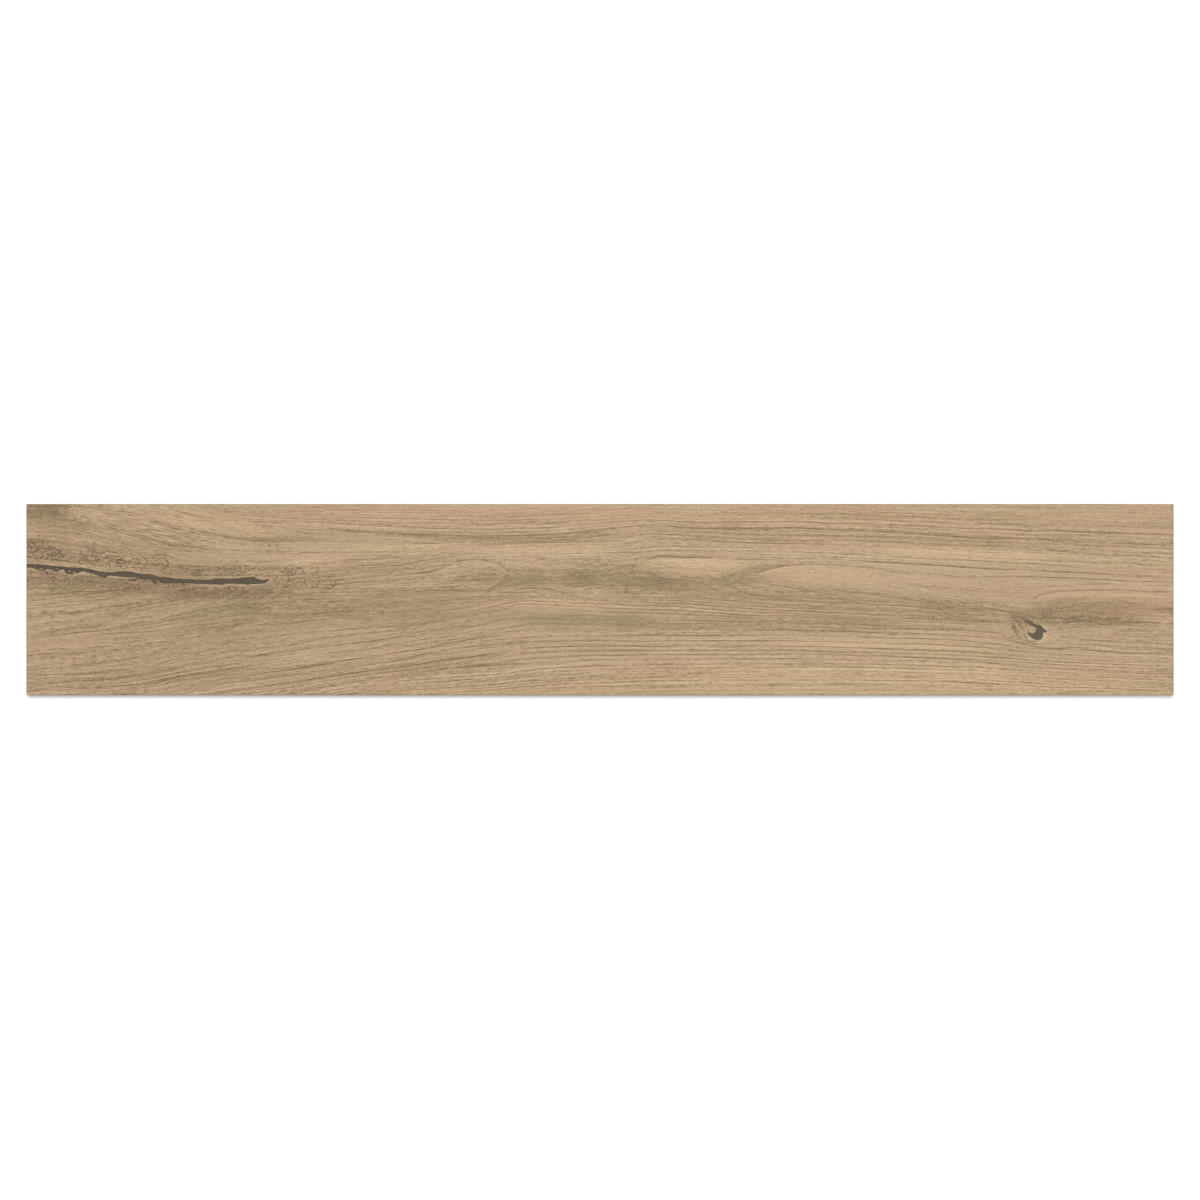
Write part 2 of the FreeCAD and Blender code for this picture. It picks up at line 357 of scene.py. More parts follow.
# Short curled strokes of the burl round the split, of the swirls past its tip and of the fan beside the
# knot, as their strength and their course.
CURLED_STROKES = [
    (0.9, [(88, 550), (92, 551.5), (93, 554), (90.5, 556.5)]),
    (0.8, [(78, 562.5), (80.5, 559), (85, 557.5), (88.5, 560), (87, 563)]),
    (0.9, [(81.5, 560.8), (84.5, 560), (86, 561.2)]),
    (0.9, [(89.8, 561.3), (95, 560.4), (100, 558.6)]),
    (0.7, [(94.8, 563), (99, 560.6), (101, 559.8)]),
    (0.7, [(95.5, 558.3), (99, 554.2), (104, 552.1), (111, 551.8), (118, 553)]),
    (0.6, [(102, 562.5), (106, 558), (111, 556), (117, 557)]),
    (1, [(114.8, 565.6), (118, 566), (121, 567.1)]),
    (0.9, [(115.5, 563.2), (119, 560.2), (124.5, 560.8), (126, 563.8)]),
    (0.8, [(131.5, 558.2), (135.7, 558.8), (138.4, 561.7), (136.5, 564.6)]),
    (0.8, [(143, 557.5), (146.5, 560), (147, 563.5), (143.5, 566.2)]),
    (0.7, [(149, 566), (152, 564), (155, 565.2)]),
    (0.8, [(27.4, 544.6), (30, 546.2), (30.6, 549.4)]),
    (0.7, [(32, 543), (35.4, 545.4), (36.2, 549.4), (34, 552.4)]),
    (0.8, [(28, 551), (35.4, 556.2), (37, 560)]),
    (0.6, [(37.6, 546), (41, 548.6), (45.6, 548.2)]),
    (0.9, [(49.6, 550), (53.6, 549), (58, 550.4), (61, 553.4)]),
    (0.9, [(50.2, 556.4), (53, 554.6), (55, 556)]),
    (0.8, [(57.6, 558.6), (60, 556.4), (62.6, 558.4)]),
    (0.7, [(87, 551), (91.4, 549), (95.6, 551), (97, 555)]),
    (0.7, [(84, 556), (81, 553.6), (82, 550.4)]),
    (0.7, [(106, 565), (108.6, 561.6), (112.8, 560.6)]),
    (0.9, [(117, 563.8), (120.4, 563), (123.6, 565)]),
    (0.8, [(111, 558.4), (115.4, 556.6), (121, 557.4), (125.6, 560)]),
    (0.7, [(128.6, 565), (129.6, 561), (133.4, 560)]),
    (0.6, [(139.6, 569), (143, 568), (147.6, 569.2)]),
    (0.9, [(40.7, 558.3), (43.5, 556.2), (42.3, 552.6)]),
    (0.9, [(46, 560), (48, 557.2), (52, 553.2), (55, 553)]),
    (1, [(55.7, 557.8), (56, 555.2), (59, 553.2), (62.4, 555.2), (64, 557.6)]),
    (0.7, [(68, 561), (71, 558), (75, 556.5)]),
    (0.8, [(155.5, 561), (160, 558.6), (165, 559.2), (168, 563), (166.5, 568)]),
    (0.7, [(156, 568), (158.5, 564.2), (162.5, 563.5), (164.5, 567), (162, 571)]),
    (0.7, [(150, 559), (155, 556), (162, 554.6), (170, 556.5), (173, 561)]),
    (0.7, [(176.5, 568), (181, 567), (185, 570)]),
    (0.8, [(190.5, 573), (196, 572.2), (200.5, 573)]),
    (0.8, [(192, 575.6), (197, 575.2), (202, 576.2)]),
    (0.8, [(196, 569.5), (199.5, 570.4), (201, 572.5)]),
    (0.5, [(217, 573.6), (218.5, 570), (222, 568.8)]),
    (0.5, [(220, 574.6), (223, 572), (226, 571.4)]),
    (0.5, [(194, 567), (197.5, 566), (201, 567.4), (203, 570)]),
    (0.7, [(236.5, 575.5), (241, 572.6), (246, 573.4)]),
    (0.9, [(261.5, 571), (263.5, 570)]),
    (0.7, [(171, 587), (178, 586.2), (186, 588.6)]),
    (0.6, [(176, 590), (186, 589.6), (196, 587.8)]),
    (0.6, [(191.7, 586.4), (200, 588.4), (208, 588)]),
    (0.4, [(200, 596), (214, 592), (226, 588.6)]),
    (0.4, [(214, 598), (228, 593), (238, 588.6)]),
    (0.4, [(228, 600), (240, 595), (250, 588.8)]),
    (0.4, [(242, 600), (252, 595), (262, 588.6)]),
    (0.4, [(256, 600), (265, 595), (274, 587.4)]),
    (0.4, [(270, 601), (279, 595.6), (286, 589.6)]),
    (0.6, [(120, 585.5), (126, 583.5), (128, 588), (124, 591.5)]),
    (0.6, [(58, 583), (63, 580.5), (68, 583), (66, 587)]),
    (0.9, [(280.3, 572), (283.6, 571.6)]),
    (0.9, [(286.6, 566.8), (285.2, 569.4), (284.2, 572)]),
    (0.9, [(289.4, 568.8), (288, 571.6), (286.4, 574.2)]),
    (0.9, [(292.8, 568.6), (291.4, 571.4), (289.6, 574.4)]),
    (0.9, [(296.6, 570), (295, 572.8), (292.4, 575.6)]),
    (0.7, [(296, 567.8), (299, 568.3), (302, 570.3), (303, 573), (307, 574.2)]),
    (0.6, [(317.8, 567.8), (317.4, 571), (315.6, 573.6), (312, 575.2)]),
    (0.9, [(275.6, 578.6), (277.8, 578.4)]),
    (0.7, [(273.6, 579), (275, 582.6), (280, 583)]),
    (0.9, [(286.6, 581), (290, 580.4), (292, 579.2), (295, 579.8)]),
    (0.8, [(281.6, 587.8), (286, 587), (290, 585.4), (294, 585.6)]),
    (0.9, [(304.6, 578.6), (304.6, 582), (306.4, 585.8)]),
    (0.7, [(311, 586.4), (315, 587.6), (319.4, 588.2)]),
    (0.7, [(319.8, 580.6), (317.4, 583), (316.8, 585.6)]),
    (0.6, [(321.6, 578.2), (324, 576.6), (333.2, 576.6)]),
    (0.9, [
        (321.4, 587.6), (328.4, 588.2), (332.6, 587.4), (335.8, 585.4), (335.4, 583), (333.4, 581.6),
    ]),
    (1, [(337.6, 580), (340.6, 579.8)]),
    (0.7, [(1014.6, 619), (1018.6, 624), (1020.4, 628.4)]),
    (0.7, [(1012.6, 622), (1015.2, 628), (1018.4, 633.4)]),
    (0.6, [(1018.8, 620.6), (1022, 626), (1024, 632)]),
    (0.6, [(1012.8, 628), (1016, 634), (1020, 639)]),
    (0.5, [(1010, 622), (1012, 628), (1014, 632)]),
    (0.6, [(1022.4, 618), (1024.6, 621), (1025.4, 624)]),
    (0.7, [(1023.4, 634), (1024.8, 636.6), (1027, 638.8)]),
    (0.7, [(1026, 641), (1031.4, 641.8), (1036, 641.6)]),
    (0.8, [(1046, 615), (1047.6, 613.8)]),
    (0.6, [(1042.7, 611), (1042.6, 614.4), (1045, 617.4)]),
    (0.6, [(1049.4, 610.6), (1050.4, 614), (1048.4, 617)]),
    (0.7, [(1037.6, 608.4), (1038.8, 608.2)]),
    (0.6, [(1026, 614.6), (1032, 616.8), (1038, 619.2)]),
]

# Pale strokes, most of them along the ragged lower lip of the split and round the knot.
PALE_STROKES = [
    (0.9, 0.7, [(190, 584.9), (224, 585.8), (228, 584.9), (240, 585.4), (262, 584.8)]),
    (0.9, 0.7, [(67, 575.4), (73, 575.6), (79, 574.4), (84, 572.6)]),
    (0.6, 0.7, [(168, 576.4), (182, 577.8), (200, 578.4), (214, 578)]),
    (0.5, 0.8, [(40, 562.6), (60, 564.6), (82, 566.2), (96, 569.6), (110, 570.6)]),
    (0.9, 0.8, [(1041, 625.2), (1044.6, 627.6), (1048, 630.6)]),
    (0.9, 0.9, [(1046, 634.2), (1045, 637.6), (1042.6, 641), (1037, 642.4)]),
    (0.7, 0.9, [(1028, 637.6), (1033, 640.8)]),
    (0.5, 0.9, [(1046, 640), (1054, 636), (1062, 634.4)]),
    (0.6, 0.8, [(1036, 600.8), (1042, 598), (1049, 597)]),
    (0.35, 0.7, [(393, 680), (439, 675.5), (470, 674), (500, 675), (521, 669), (598, 662), (640, 661)]),
    (0.3, 0.9, [
        (436, 573), (462, 563.6), (478, 561.8), (491, 565), (501, 570), (505.5, 573.5), (501, 578),
    ]),
    (0.4, 0.9, [(501, 578), (494, 584), (484, 589)]),
    (0.4, 1, [(524, 600), (540, 599.4), (560, 602), (580, 606)]),
    (0.35, 0.9, [(634, 568), (640, 563.4), (650, 560.4), (665, 559.4), (682, 560.4)]),
    (0.5, 0.9, [(758, 576.5), (768, 571.5), (782, 567.6), (800, 566), (822, 566)]),
    (0.4, 0.9, [(729, 583), (738, 586.4), (750, 589.5), (768, 592)]),
    (0.4, 1, [(1040, 598), (1060, 595), (1090, 594), (1130, 595), (1168, 597)]),
    (0.6, 0.8, [(760, 668.5), (830, 669), (980, 672.5)]),
    (0.4, 0.8, [(900, 645.6), (950, 647.4), (1000, 650.6)]),
    (0.4, 0.9, [(290, 689), (316, 683), (347, 680), (378, 674.6), (424, 671.4), (470, 665)]),
]
CURLED_FORCE, CURLED_HALF_WIDTH = 1.6, 0.6
# A stroke fades over a share of its length at each end, down to its tip's force, and between two numbers
# of half widths off its middle.
FADE_SHARE, TIP_FORCE = 0.12, 0.2
STROKE_REACH, STROKE_FADE = 2.3, 0.8


def drawn_strokes(strokes, x, y):
    """The nearest stroke at each place: how many half widths off it is, signed by its side, and its force.

    The force fades at the stroke's ends and off its sides. The shader draws the line as a bell curve of the
    first number, which stays sharp on a coarse grid, because a signed distance is straight across the line.
    """
    off = np.full(x.shape, STROKE_REACH)
    force = np.zeros(x.shape)
    for strength, half_width, course in strokes:
        line = rounded_line(course)
        reach = STROKE_REACH * half_width
        (left, top), (right, bottom) = line.min(axis=0) - reach, line.max(axis=0) + reach
        near = (x > left) & (x < right) & (y > top) & (y < bottom)
        apart, share, side = distance_to(line, x[near], y[near])
        scaled = apart / half_width
        faded = strength * np.clip(np.minimum(share, 1 - share) / FADE_SHARE + TIP_FORCE, 0, 1)
        faded = faded * np.clip((STROKE_REACH - scaled) / STROKE_FADE, 0, 1)
        closer = scaled < np.abs(off[near])
        off[near] = np.where(closer, scaled * side, off[near])
        force[near] = np.where(closer, faded, force[near])
    return off, force


# Soft patches of tone: middle, half length, half width, how far each runs down to the right per pixel along,
# and what it adds of light, rose, olive and gold.
TONES = [
    (42, 509, 26, 8, 0.05, (-0.85, 0, 0.8, 0)),
    (58, 525, 36, 7, 0.1, (-0.4, 0, 0.6, 0)),
    (95, 518, 26, 9, 0.2, (-0.05, 0.1, 0.2, 0)),
    (34, 544, 16, 7, 0, (-0.5, 0.1, 0.2, 0)),
    (59, 541, 8, 9, -0.5, (-0.2, 0, 0.7, 0)),
    (75, 554, 60, 12, 0, (-0.15, 0.1, 0, 0)),
    (170, 540, 110, 22, 0.15, (-0.06, 0, 0.1, 0)),
    (215, 518, 60, 7, 0.25, (0.07, 0, 0, 0.4)),
    (440, 514, 260, 12, 0, (0.1, 0.9, 0, 0.2)),
    (430, 536, 180, 6, 0, (-0.2, 0, 0.6, 0)),
    (270, 541, 18, 4, 0, (-0.15, 0.3, 0, 0)),
    (318, 560, 26, 6, 0, (0.25, 0, 0, 0.2)),
    (400, 572, 90, 16, 0, (-0.12, 0.1, 0, 0)),
    (478, 578, 22, 5, 0, (-0.25, 0.1, 0, 0)),
    (480, 548, 120, 5, 0, (0.2, 0.1, 0, 0.1)),
    (600, 577, 90, 13, 0, (-0.45, 0, 0.5, 0)),
    (582, 577, 18, 7, 0, (-0.25, 0, 0.2, 0)),
    (520, 583, 30, 10, 0, (-0.25, 0, 0.4, 0)),
    (688, 566, 54, 7, 0.02, (0.25, 0, 0, 0.4)),
    (690, 582, 65, 7, 0, (-0.3, 0, 0.4, 0)),
    (742, 574, 22, 9, -0.25, (-0.3, 0, 0.5, 0)),
    (815, 577, 55, 10, 0.05, (0.1, 0, 0, 0.2)),
    (800, 598, 150, 9, 0.06, (-0.2, 0.3, 0, 0)),
    (880, 540, 210, 7, 0.03, (-0.25, 0.3, 0, 0)),
    (800, 590, 200, 16, 0.05, (-0.12, 0, 0, 0)),
    (60, 685, 60, 9, 0, (-0.15, 0, 0, 0)),
    (880, 515, 300, 11, 0, (0.12, 0.5, 0, 0.3)),
    (780, 552, 120, 14, 0, (0.2, 0, 0, 0)),
    (900, 545, 140, 20, 0.02, (0.09, 0, 0, 0)),
    (1130, 560, 60, 14, 0, (0.15, 0, 0, 0.1)),
    (970, 554, 85, 7, 0.05, (0.4, 0, 0, 0.5)),
    (335, 611, 150, 22, -0.08, (-0.33, 0.1, 0.3, 0)),
    (480, 615, 100, 14, -0.1, (-0.2, 0.1, 0, 0)),
    (330, 680, 110, 12, -0.08, (-0.15, 0, 0, 0)),
    (240, 640, 70, 9, -0.1, (0.12, 0, 0, 0)),
    (620, 647, 90, 9, 0, (0.07, 0, 0, 0.1)),
    (215, 672, 45, 8, -0.15, (-0.2, 0, 0, 0)),
    (445, 668, 62, 10, -0.08, (-0.25, 0, 0.2, 0)),
    (555, 606, 55, 6, 0, (0.3, 0, 0, 0.3)),
    (590, 620, 60, 8, 0, (-0.25, 0, 0.4, 0)),
    (720, 623, 190, 8, 0.02, (-0.3, 0.1, 0.4, 0)),
    (960, 614, 40, 8, 0.15, (-0.3, 0, 0.4, 0)),
    (1019, 619, 11, 7, 0.2, (-0.4, 0, 0.3, 0)),
    (885, 645, 100, 6, 0.05, (0.2, 0, 0, 0.3)),
    (900, 680, 300, 14, 0.01, (0.28, 0, 0.1, 0.35)),
    (500, 690, 140, 6, 0, (0.1, 0.1, 0, 0.2)),
    (640, 680, 110, 10, 0, (0.05, 0.1, 0, 0.1)),
    (1044, 611, 11, 7, 0, (-0.25, 0.4, 0, 0)),
    (1030, 617, 22, 5, 0.2, (-0.25, 0, 0.2, 0)),
    (1100, 607.5, 58, 7, 0, (-0.65, 0.4, 0, 0)),
    (1168, 609.5, 13, 4, 0, (-0.5, 0.2, 0, 0)),
    (1100, 596, 66, 5, 0, (-0.08, 0.1, 0, 0.2)),
    (1090, 619.5, 52, 5, 0, (-0.35, 0, 0.3, 0)),
    (1130, 630, 50, 16, 0, (-0.12, 0, 0, 0.1)),
    (1078, 627, 20, 5, 0, (-0.1, 0, 0.6, 0)),
    (60, 581, 42, 8, 0, (-0.45, 0.7, 0, 0)),
    (68, 588, 16, 5, 0, (-0.15, 0, 0.7, 0)),
    (135, 586, 40, 7, 0.05, (-0.5, 0.7, 0, 0)),
    (222, 591, 50, 9, 0, (-0.45, 0.5, 0, 0)),
    (135, 590, 60, 16, 0, (-0.2, 0, 0, 0)),
    (305, 580, 38, 11, 0, (-0.2, 0.4, 0.1, 0)),
    (110, 562, 80, 9, 0.1, (-0.25, 0.3, 0, 0)),
    (50, 552, 30, 14, 0, (-0.15, 0, 0, 0)),
    (210, 572, 42, 9, 0, (-0.35, 0.3, 0.2, 0)),
    (150, 640, 160, 55, -0.06, (-0.25, 0, 0, 0)),
    (135, 677, 40, 12, 0, (-0.2, 0, 0, 0)),
    (590, 645, 70, 12, 0, (-0.18, 0, 0, 0)),
    (100, 526, 26, 4, 0.32, (0.2, 0, 0, 0)),
    (250, 624, 24, 4, -0.25, (0.35, 0, 0, 0)),
    (100, 545, 80, 12, 0.1, (-0.1, 0, 0, 0)),
    (185, 585, 60, 12, 0, (-0.12, 0.1, 0, 0)),
    (60, 582, 40, 10, 0, (-0.1, 0, 0, 0)),
    (560, 552, 60, 10, 0, (0.1, 0, 0, 0)),
    (720, 512, 110, 8, 0, (0.15, 0, 0, 0)),
    (440, 511, 80, 6, 0, (0.18, 0, 0, 0)),
    (985, 605, 60, 7, 0.1, (-0.1, 0, 0, 0)),
    (560, 509, 70, 6, 0, (0.15, 0.2, -0.4, 0)),
    (440, 645, 90, 14, -0.08, (-0.12, 0, 0, 0)),
    (130, 540, 40, 14, 0.2, (-0.05, -0.2, 0.5, 0)),
    (145, 510, 40, 6, 0.1, (0, 0.4, 0, 0)),
    (180, 519, 30, 5, 0.25, (0.05, 0, 0, 0.3)),
    (850, 614, 40, 10, 0, (-0.1, 0, 0, 0)),
]


def soft_patches(patches, x, y):
    """Sum of what the patches add: each is a bell curve about its middle, with a flatter top lengthwise."""
    total = np.zeros(x.shape + (len(patches[0][-1]),))
    for across, down, half_length, half_width, turn, adds in patches:
        along = (x - across) / half_length
        over = (y - down - turn * (x - across)) / half_width
        total += np.exp(-(along**4 + over**2))[..., None] * np.array(adds)
    return total


# Where the growth rings show most, and where fine threads lie between them: patches as above, with these
# two strengths.
RINGED = [
    (750, 648, 235, 20, 0, (0.9, 0)),
    (300, 680, 150, 16, -0.14, (0.45, 0)),
    (1040, 655, 150, 16, 0.05, (0.8, 0)),
    (850, 682, 360, 10, 0, (0.4, 0.9)),
    (480, 688, 160, 8, -0.08, (0.3, 0.8)),
    (130, 672, 110, 14, -0.08, (0.5, 0)),
    (110, 615, 90, 14, -0.12, (0.4, 0)),
    (700, 608, 330, 11, 0.03, (0.25, 0.9)),
    (420, 514, 260, 10, 0, (0.3, 1)),
    (440, 537, 150, 8, 0, (0.55, 0.3)),
    (900, 518, 320, 12, 0.02, (0.6, 0.9)),
    (900, 538, 320, 9, 0.02, (0.7, 0.3)),
    (940, 556, 280, 10, 0.03, (0.35, 0.6)),
    (240, 530, 60, 18, 0.2, (0.3, 0.1)),
    (150, 531, 66, 15, 0.2, (0.1, 0.9)),
]


# Where the grain curls and speckles, as round the split and the knot: middle, half sizes and strength.
CURLS = [
    (44, 510, 22, 8, 0.8), (74, 522, 26, 9, 0.4), (38, 550, 15, 9, 0.9), (57, 555, 14, 8, 1),
    (92, 557, 18, 9, 1), (118, 562, 13, 8, 1), (139, 562, 14, 8, 0.9), (162, 565, 15, 8, 0.8),
    (60, 579, 48, 9, 1), (140, 585, 36, 8, 1), (180, 548, 22, 6, 0.4), (197, 572, 16, 7, 0.9),
    (242, 571, 28, 7, 0.9), (225, 590, 50, 7, 0.7), (275, 548, 22, 8, 0.5), (292, 579, 24, 12, 0.8),
    (326, 582, 20, 9, 0.7), (1046, 612, 14, 8, 0.5), (1016, 630, 9, 10, 0.5), (1029, 628, 6, 4, 0.9),
    (1085, 617, 55, 6, 0.4),
]


def curl_mask(x, y):
    """How curly the grain is: the strongest of the patches, each a bell curve."""
    mask = np.zeros(x.shape)
    for across, down, half_length, half_width, force in CURLS:
        bell = np.exp(-(((x - across) / half_length) ** 2) - ((y - down) / half_width) ** 2)
        mask = np.maximum(mask, force * bell)
    return mask


# The long split as an outline: its upper lip from the tile's edge to its tip, then its lower lip back.
SPLIT_OUTLINE = [
    (20, 563.8), (36, 564.2), (46, 565.2), (57, 566.2), (66, 567), (74, 567.6), (82, 567.9),
    (90.5, 569.2), (96.5, 571), (104, 572.1), (112, 572.5), (119, 571.5), (126, 571.2), (131, 571.7),
    (136.5, 573.3), (145, 574.2), (150, 574.2), (155, 575.8), (160, 577.1), (167, 577.4), (174, 578.3),
    (183, 579), (192, 579.2), (203, 579.8), (212, 579.8), (216, 578.8), (224, 578.8), (232, 579),
    (239, 578.3), (245, 577.5), (250, 577), (254, 577.5), (258, 579.3), (263, 580.2), (266, 579.6),
    (269.4, 579), (267.6, 581.2), (266, 582.9), (262, 583.3), (256, 583.8), (249, 584.6), (241, 584),
    (232, 583.3), (225, 583.5), (223, 584.6), (217, 584.3), (208, 584), (199, 583.8), (192, 583.5),
    (185, 582.9), (181, 583.3), (176, 583.5), (170, 583.5), (164, 583.3), (158, 582.4), (152, 581.6),
    (145, 579.4), (139, 579), (133, 578.2), (128, 577.5), (122, 576.8), (116, 576.3), (110, 575.6),
    (106, 575.6), (107, 578.8), (103, 576.9), (99, 575.8), (95, 574.3), (89, 572.5), (84, 571.2),
    (80.6, 571.7), (78, 573), (72, 574.3), (67, 574), (65, 572.4), (64.4, 570), (60.7, 569.5),
    (58.6, 571.2), (56, 571.6), (52.5, 570), (47, 568.8), (43.5, 570.8), (40, 570.4), (36.5, 569.2),
    (32, 567.9), (20, 566.6),
]
# Chips of sound wood left standing in the split, and splinters of dark wood beside it: middle, half sizes
# and turn.
SPLIT_CHIPS = [
    (41.5, 568.8, 2.6, 0.5, 0.1), (57.6, 568.9, 1.8, 0.4, 0.2), (74.2, 572.3, 1.8, 0.8, -0.2),
    (69.6, 571.4, 1.4, 0.5, 0), (135, 577.8, 4.5, 0.6, 0.1), (149.8, 580.2, 3.2, 0.9, 0.2),
    (157.6, 581.4, 3.4, 0.9, 0.25),
]
SPLIT_SPLINTERS = [(133.6, 580.3, 3.2, 0.8, 0), (155.4, 582.7, 3.4, 0.8, 0.2), (183.2, 584.3, 2, 0.8, 0.3)]

# The knot: a block of dark wood with an arm up to the left, a toe below it and a spur on its right.
KNOT_OUTLINE = [
    (1023.8, 619.5), (1028, 620.3), (1031.3, 621.3), (1034, 623.3), (1037.3, 624.9), (1040, 625),
    (1042.8, 627.6), (1045.3, 629.6), (1047.2, 631.2), (1046.3, 633), (1044.6, 632.6), (1043.3, 632.2),
    (1042.8, 634), (1043, 636.4), (1041.6, 638.8), (1038, 640.1), (1034.8, 639.5), (1032, 637.8),
    (1029.3, 635.4), (1026.8, 633), (1028.2, 632.4), (1031.3, 633.3), (1034, 633.2), (1035.6, 631.6),
    (1036.3, 629.2), (1035.6, 627.2), (1033.3, 626.4), (1030.6, 625.2), (1027.6, 623.2),
]
OUTLINE_REACH = 8


def outside(outline, x, y):
    """Distance outside an outline, below zero where a ray to the right crosses it an odd number of times."""
    closed = np.array(outline + outline[:1], dtype=float)
    inside = np.zeros(x.shape, dtype=bool)
    for (x0, y0), (x1, y1) in zip(closed[:-1], closed[1:]):
        if y0 != y1:
            crossing = x0 + (y - y0) * (x1 - x0) / (y1 - y0)
            inside ^= ((y0 > y) != (y1 > y)) & (x < crossing)
    apart, _, _ = distance_to(closed, x, y)
    return np.clip(np.where(inside, -apart, apart), -OUTLINE_REACH, OUTLINE_REACH)


def outside_ovals(ovals, x, y):
    """Rough distance outside the nearest oval: how far its unit circle is passed, times its half width."""
    nearest = np.full(x.shape, float(OUTLINE_REACH))
    for across, down, half_length, half_width, turn in ovals:
        along = (x - across) / half_length
        over = (y - down - turn * (x - across)) / half_width
        nearest = np.minimum(nearest, (np.hypot(along, over) - 1) * half_width)
    return nearest


LATTICE_SIZE = 256


def lattice_noise(u, v, seed):
    """Random heights from -1 to 1 where u and v are whole numbers, joined by S-curves in between."""
    heights = np.random.default_rng(seed).uniform(-1, 1, (LATTICE_SIZE, LATTICE_SIZE))
    i, j = np.floor(u).astype(int), np.floor(v).astype(int)
    s, t = (w * w * (3 - 2 * w) for w in (u - i, v - j))
    left, right = i % LATTICE_SIZE, (i + 1) % LATTICE_SIZE
    below, above = j % LATTICE_SIZE, (j + 1) % LATTICE_SIZE
    low = heights[left, below] * (1 - s) + heights[right, below] * s
    high = heights[left, above] * (1 - s) + heights[right, above] * s
    return low * (1 - t) + high * t


def stations(runs):
    """Places along an edge. Each run goes from one place to another in even steps of about its own size."""
    parts = [np.linspace(low, high, round((high - low) / step), endpoint=False) for low, high, step in runs]
    return np.concatenate(parts + [[runs[-1][1]]])


def across_face(pixels):
    """Where a column of the photograph lies along the tile."""
    return (pixels - FACE_MIDDLE[0]) * PIXEL


def up_face(pixels):
    """Where a row of the photograph lies across the tile."""
    return (FACE_MIDDLE[1] - pixels) * PIXEL


# The face is a grid, finer along the split and the curls past its tip, round the knot and where rings close.
# A column of it lies on the tile's middle, where its map is cut in two.
CURLS_END, TONGUES_START, TONGUES_END, KNOT_START, KNOT_END = map(across_face, (345, 480, 790, 1004, 1070))
SPLIT_STEP, KNOT_STEP, TONGUES_STEP, END_STEP = 0.00142, 0.00125, 0.0048, 0.0036
PLAIN_STEP, LONG_STEP = 0.0072, 0.0074
FINE_LOW, FINE_HIGH = up_face(645), up_face(545)
ROW_STEP, FINE_ROW_STEP = 0.00105, 0.00086
columns = stations([
    (FACE_LOW[0], CURLS_END, SPLIT_STEP),
    (CURLS_END, TONGUES_START, PLAIN_STEP),
    (TONGUES_START, 0.0, TONGUES_STEP),
    (0.0, TONGUES_END, TONGUES_STEP),
    (TONGUES_END, KNOT_START, LONG_STEP),
    (KNOT_START, KNOT_END, KNOT_STEP),
    (KNOT_END, FACE_HIGH[0], END_STEP),
])
rows = stations([
    (FACE_LOW[1], FINE_LOW, ROW_STEP),
    (FINE_LOW, FINE_HIGH, FINE_ROW_STEP),
    (FINE_HIGH, FACE_HIGH[1], ROW_STEP),
])
place_x, place_y = np.meshgrid(columns, rows, indexing="ij")
photo_x = FACE_MIDDLE[0] + place_x / PIXEL
photo_y = FACE_MIDDLE[1] - place_y / PIXEL

# Ringed patches leave the pith bare, and rings come back over a few units of depth.
PITH_BARE, PITH_EASE = 8, 6

depth = grain_depth(photo_x, photo_y)
radius = ring_radius(photo_x, depth)
years, ring_widths = ring_count(depth)
curled = [(force * CURLED_FORCE, CURLED_HALF_WIDTH, course) for force, course in CURLED_STROKES]
dark_off, dark_force = drawn_strokes(DARK_LINES + curled, photo_x, photo_y)
pale_off, pale_force = drawn_strokes(PALE_STROKES, photo_x, photo_y)
tones = soft_patches(TONES, photo_x, photo_y)
ringed, threaded = np.moveaxis(np.clip(soft_patches(RINGED, photo_x, photo_y), 0, 1), -1, 0)
ringed *= np.clip((np.abs(depth - PITH_DEPTH) - PITH_BARE) / PITH_EASE, 0, 1)
curls = curl_mask(photo_x, photo_y)
split = np.maximum(outside(SPLIT_OUTLINE, photo_x, photo_y), -outside_ovals(SPLIT_CHIPS, photo_x, photo_y))
split = np.minimum(split, outside_ovals(SPLIT_SPLINTERS, photo_x, photo_y))
knot = outside(KNOT_OUTLINE, photo_x, photo_y)

# The press leaves the grain in low relief, all of it below the plane of the face. Its streaks have two
# sizes, each a length in pixels and a width in units of depth.
STREAK_RELIEF, LINE_RELIEF, SPLIT_RELIEF, KNOT_RELIEF = 0.00006, 0.00006, 0.00022, 0.00018
BROAD_STREAK, NARROW_STREAK = (70, 4.1), (31, 1.9)
BROAD_SHARE = 0.6
LIP_DEPTH, LIP_SLOPE = 0.3, 2


def streaks(size, seed):
    """Random heights from -1 to 1, drawn out along the grain."""
    length, width = size
    return lattice_noise(photo_x / length, depth / width, seed)


def sunk(outside_by):
    """How deep a wound is: 0 outside it, part of its depth at its lip, and from there evenly down to 1."""
    return np.clip(LIP_DEPTH - outside_by / LIP_SLOPE, 0, 1)


streaked = BROAD_SHARE * streaks(BROAD_STREAK, 3) + (1 - BROAD_SHARE) * streaks(NARROW_STREAK, 4)
relief = STREAK_RELIEF * (1 + streaked) / 2
relief += LINE_RELIEF * dark_force * np.exp(-(dark_off**2))
relief += SPLIT_RELIEF * sunk(split)
relief += KNOT_RELIEF * sunk(knot)
place_z = FACE_TOP - relief


def grid_quads(across, along, first=0):
    """Corners of a grid's quads, anticlockwise from above, where vertices are counted column by column."""
    corner = first + np.arange(across - 1)[:, None] * along + np.arange(along - 1)[None, :]
    return np.stack([corner, corner + along, corner + along + 1, corner + 1], axis=-1).reshape(-1, 4)


def round_border(across, along):
    """Numbers of a grid's border vertices, anticlockwise from above, from the corner at -X and -Y."""
    number = np.arange(across * along).reshape(across, along)
    return np.concatenate([number[:, 0], number[-1, 1:], number[-2::-1, -1], number[0, -2:0:-1]])


